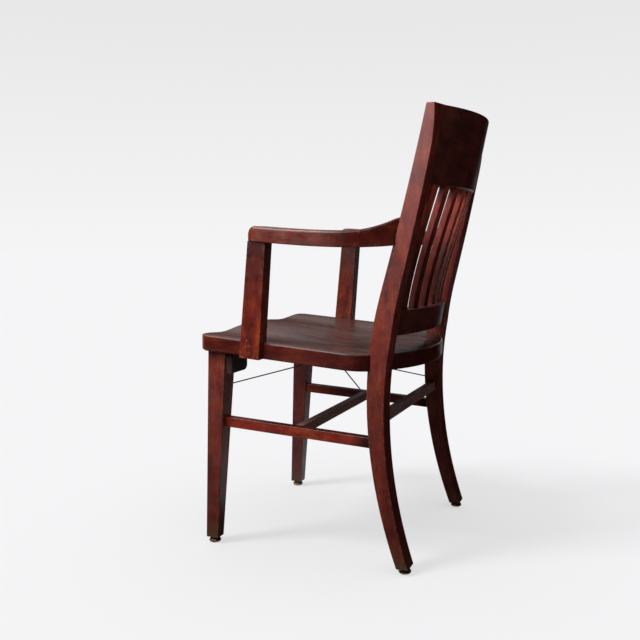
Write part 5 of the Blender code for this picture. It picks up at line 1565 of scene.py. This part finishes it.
def floor_sheet():
    bm = bmesh.new()
    bmesh.ops.create_circle(bm, cap_ends=True, radius=FLOOR_RADIUS, segments=FLOOR_FACETS)
    return bm


def flag_cloth():
    """Cloth on the floor and up to head height. Only reflections see it."""
    bm = bmesh.new()
    for low, high, start, end in CLOTH:
        rows = []
        for turn in steps_between(math.radians(start), math.radians(end), CLOTH_STEPS):
            rows.append([bm.verts.new((r * math.cos(turn), r * math.sin(turn), z)) for r, z in (low, high)])
        for here, following in zip(rows, rows[1:]):
            bm.faces.new((here[0], here[1], following[1], following[0]))
    return bm


def black_velvet(settings):
    """Black velvet: takes nearly all light."""
    material, tree = new_material("black velvet")
    velvet = add(tree, "ShaderNodeBsdfDiffuse", {"Color": opaque(settings.flag)})
    add(tree, "ShaderNodeOutputMaterial", {"Surface": velvet})
    return material


def seen_directly(tree):
    """1 for what the camera, a reflection or a clear piece sees, and 0 for light that is only thrown back."""
    path = add(tree, "ShaderNodeLightPath").node.outputs
    seen = path["Is Camera Ray"]
    for other in ("Is Glossy Ray", "Is Transmission Ray"):
        seen = add(tree, "ShaderNodeMath", {0: seen, 1: path[other]}, operation="MAXIMUM")
    return seen


def studio_paper(settings):
    """Matt pale paper: part of its paleness takes light and shadow, and part is only seen."""
    material, tree = new_material("studio paper")
    lit = add(tree, "ShaderNodeBsdfDiffuse", {"Color": opaque(settings.paper)})
    pale = add(tree, "ShaderNodeEmission", {"Color": opaque(settings.glow), "Strength": seen_directly(tree)})
    both = add(tree, "ShaderNodeAddShader", {0: lit, 1: pale})
    add(tree, "ShaderNodeOutputMaterial", {"Surface": both})
    return material


def world_light(tree, settings):
    """Soft light from all round, with a pale ground for what is seen."""
    tree.nodes.clear()
    up = add(tree, "ShaderNodeSeparateXYZ", {0: add(tree, "ShaderNodeTexCoord", out="Generated")}, 2)
    pale = ramp(tree, up, ((0.0, settings.horizon), (0.25, settings.backdrop)))
    ambient = opaque(settings.ambient)
    colour = add(tree, "ShaderNodeMix", {0: seen_directly(tree), 6: ambient, 7: pale}, 2, data_type="RGBA")
    light = add(tree, "ShaderNodeBackground", {"Color": colour, "Strength": 1.0})
    add(tree, "ShaderNodeOutputWorld", {"Surface": light})


# Add-on

class CHAIR_PT_panel(bpy.types.Panel):
    """Chair pieces in the sidebar"""

    bl_idname = "CHAIR_PT_panel"
    bl_label = "Library armchair"
    bl_space_type = "VIEW_3D"
    bl_region_type = "UI"
    bl_category = "Chair"

    def draw(self, context):
        column = self.layout.column(align=True)
        for operator in PIECES:
            column.operator(operator.bl_idname)


PIECES = (
    CHAIR_OT_studio, CHAIR_OT_seat, CHAIR_OT_rear_posts, CHAIR_OT_back_rails, CHAIR_OT_back_slats,
    CHAIR_OT_front_legs, CHAIR_OT_arms, CHAIR_OT_stretchers, CHAIR_OT_corner_blocks, CHAIR_OT_bracing,
    CHAIR_OT_glides, CHAIR_OT_plugs,
)
CLASSES = (ChairSizes, ChairFinish, StudioSettings, *PIECES, CHAIR_PT_panel)


def register():
    for kind in CLASSES:
        bpy.utils.register_class(kind)
    bpy.types.Scene.chair_sizes = PointerProperty(type=ChairSizes)
    bpy.types.Scene.chair_finish = PointerProperty(type=ChairFinish)
    bpy.types.Scene.chair_studio = PointerProperty(type=StudioSettings)


def unregister():
    del bpy.types.Scene.chair_studio
    del bpy.types.Scene.chair_finish
    del bpy.types.Scene.chair_sizes
    for kind in reversed(CLASSES):
        bpy.utils.unregister_class(kind)


def main():
    register()
    bpy.ops.chair.studio()
    bpy.ops.chair.seat()
    bpy.ops.chair.rear_posts()
    bpy.ops.chair.back_rails()
    bpy.ops.chair.back_slats()
    bpy.ops.chair.front_legs()
    bpy.ops.chair.arms()
    bpy.ops.chair.stretchers()
    bpy.ops.chair.corner_blocks()
    bpy.ops.chair.bracing()
    bpy.ops.chair.glides()
    bpy.ops.chair.plugs()


if __name__ == "__main__":
    main()
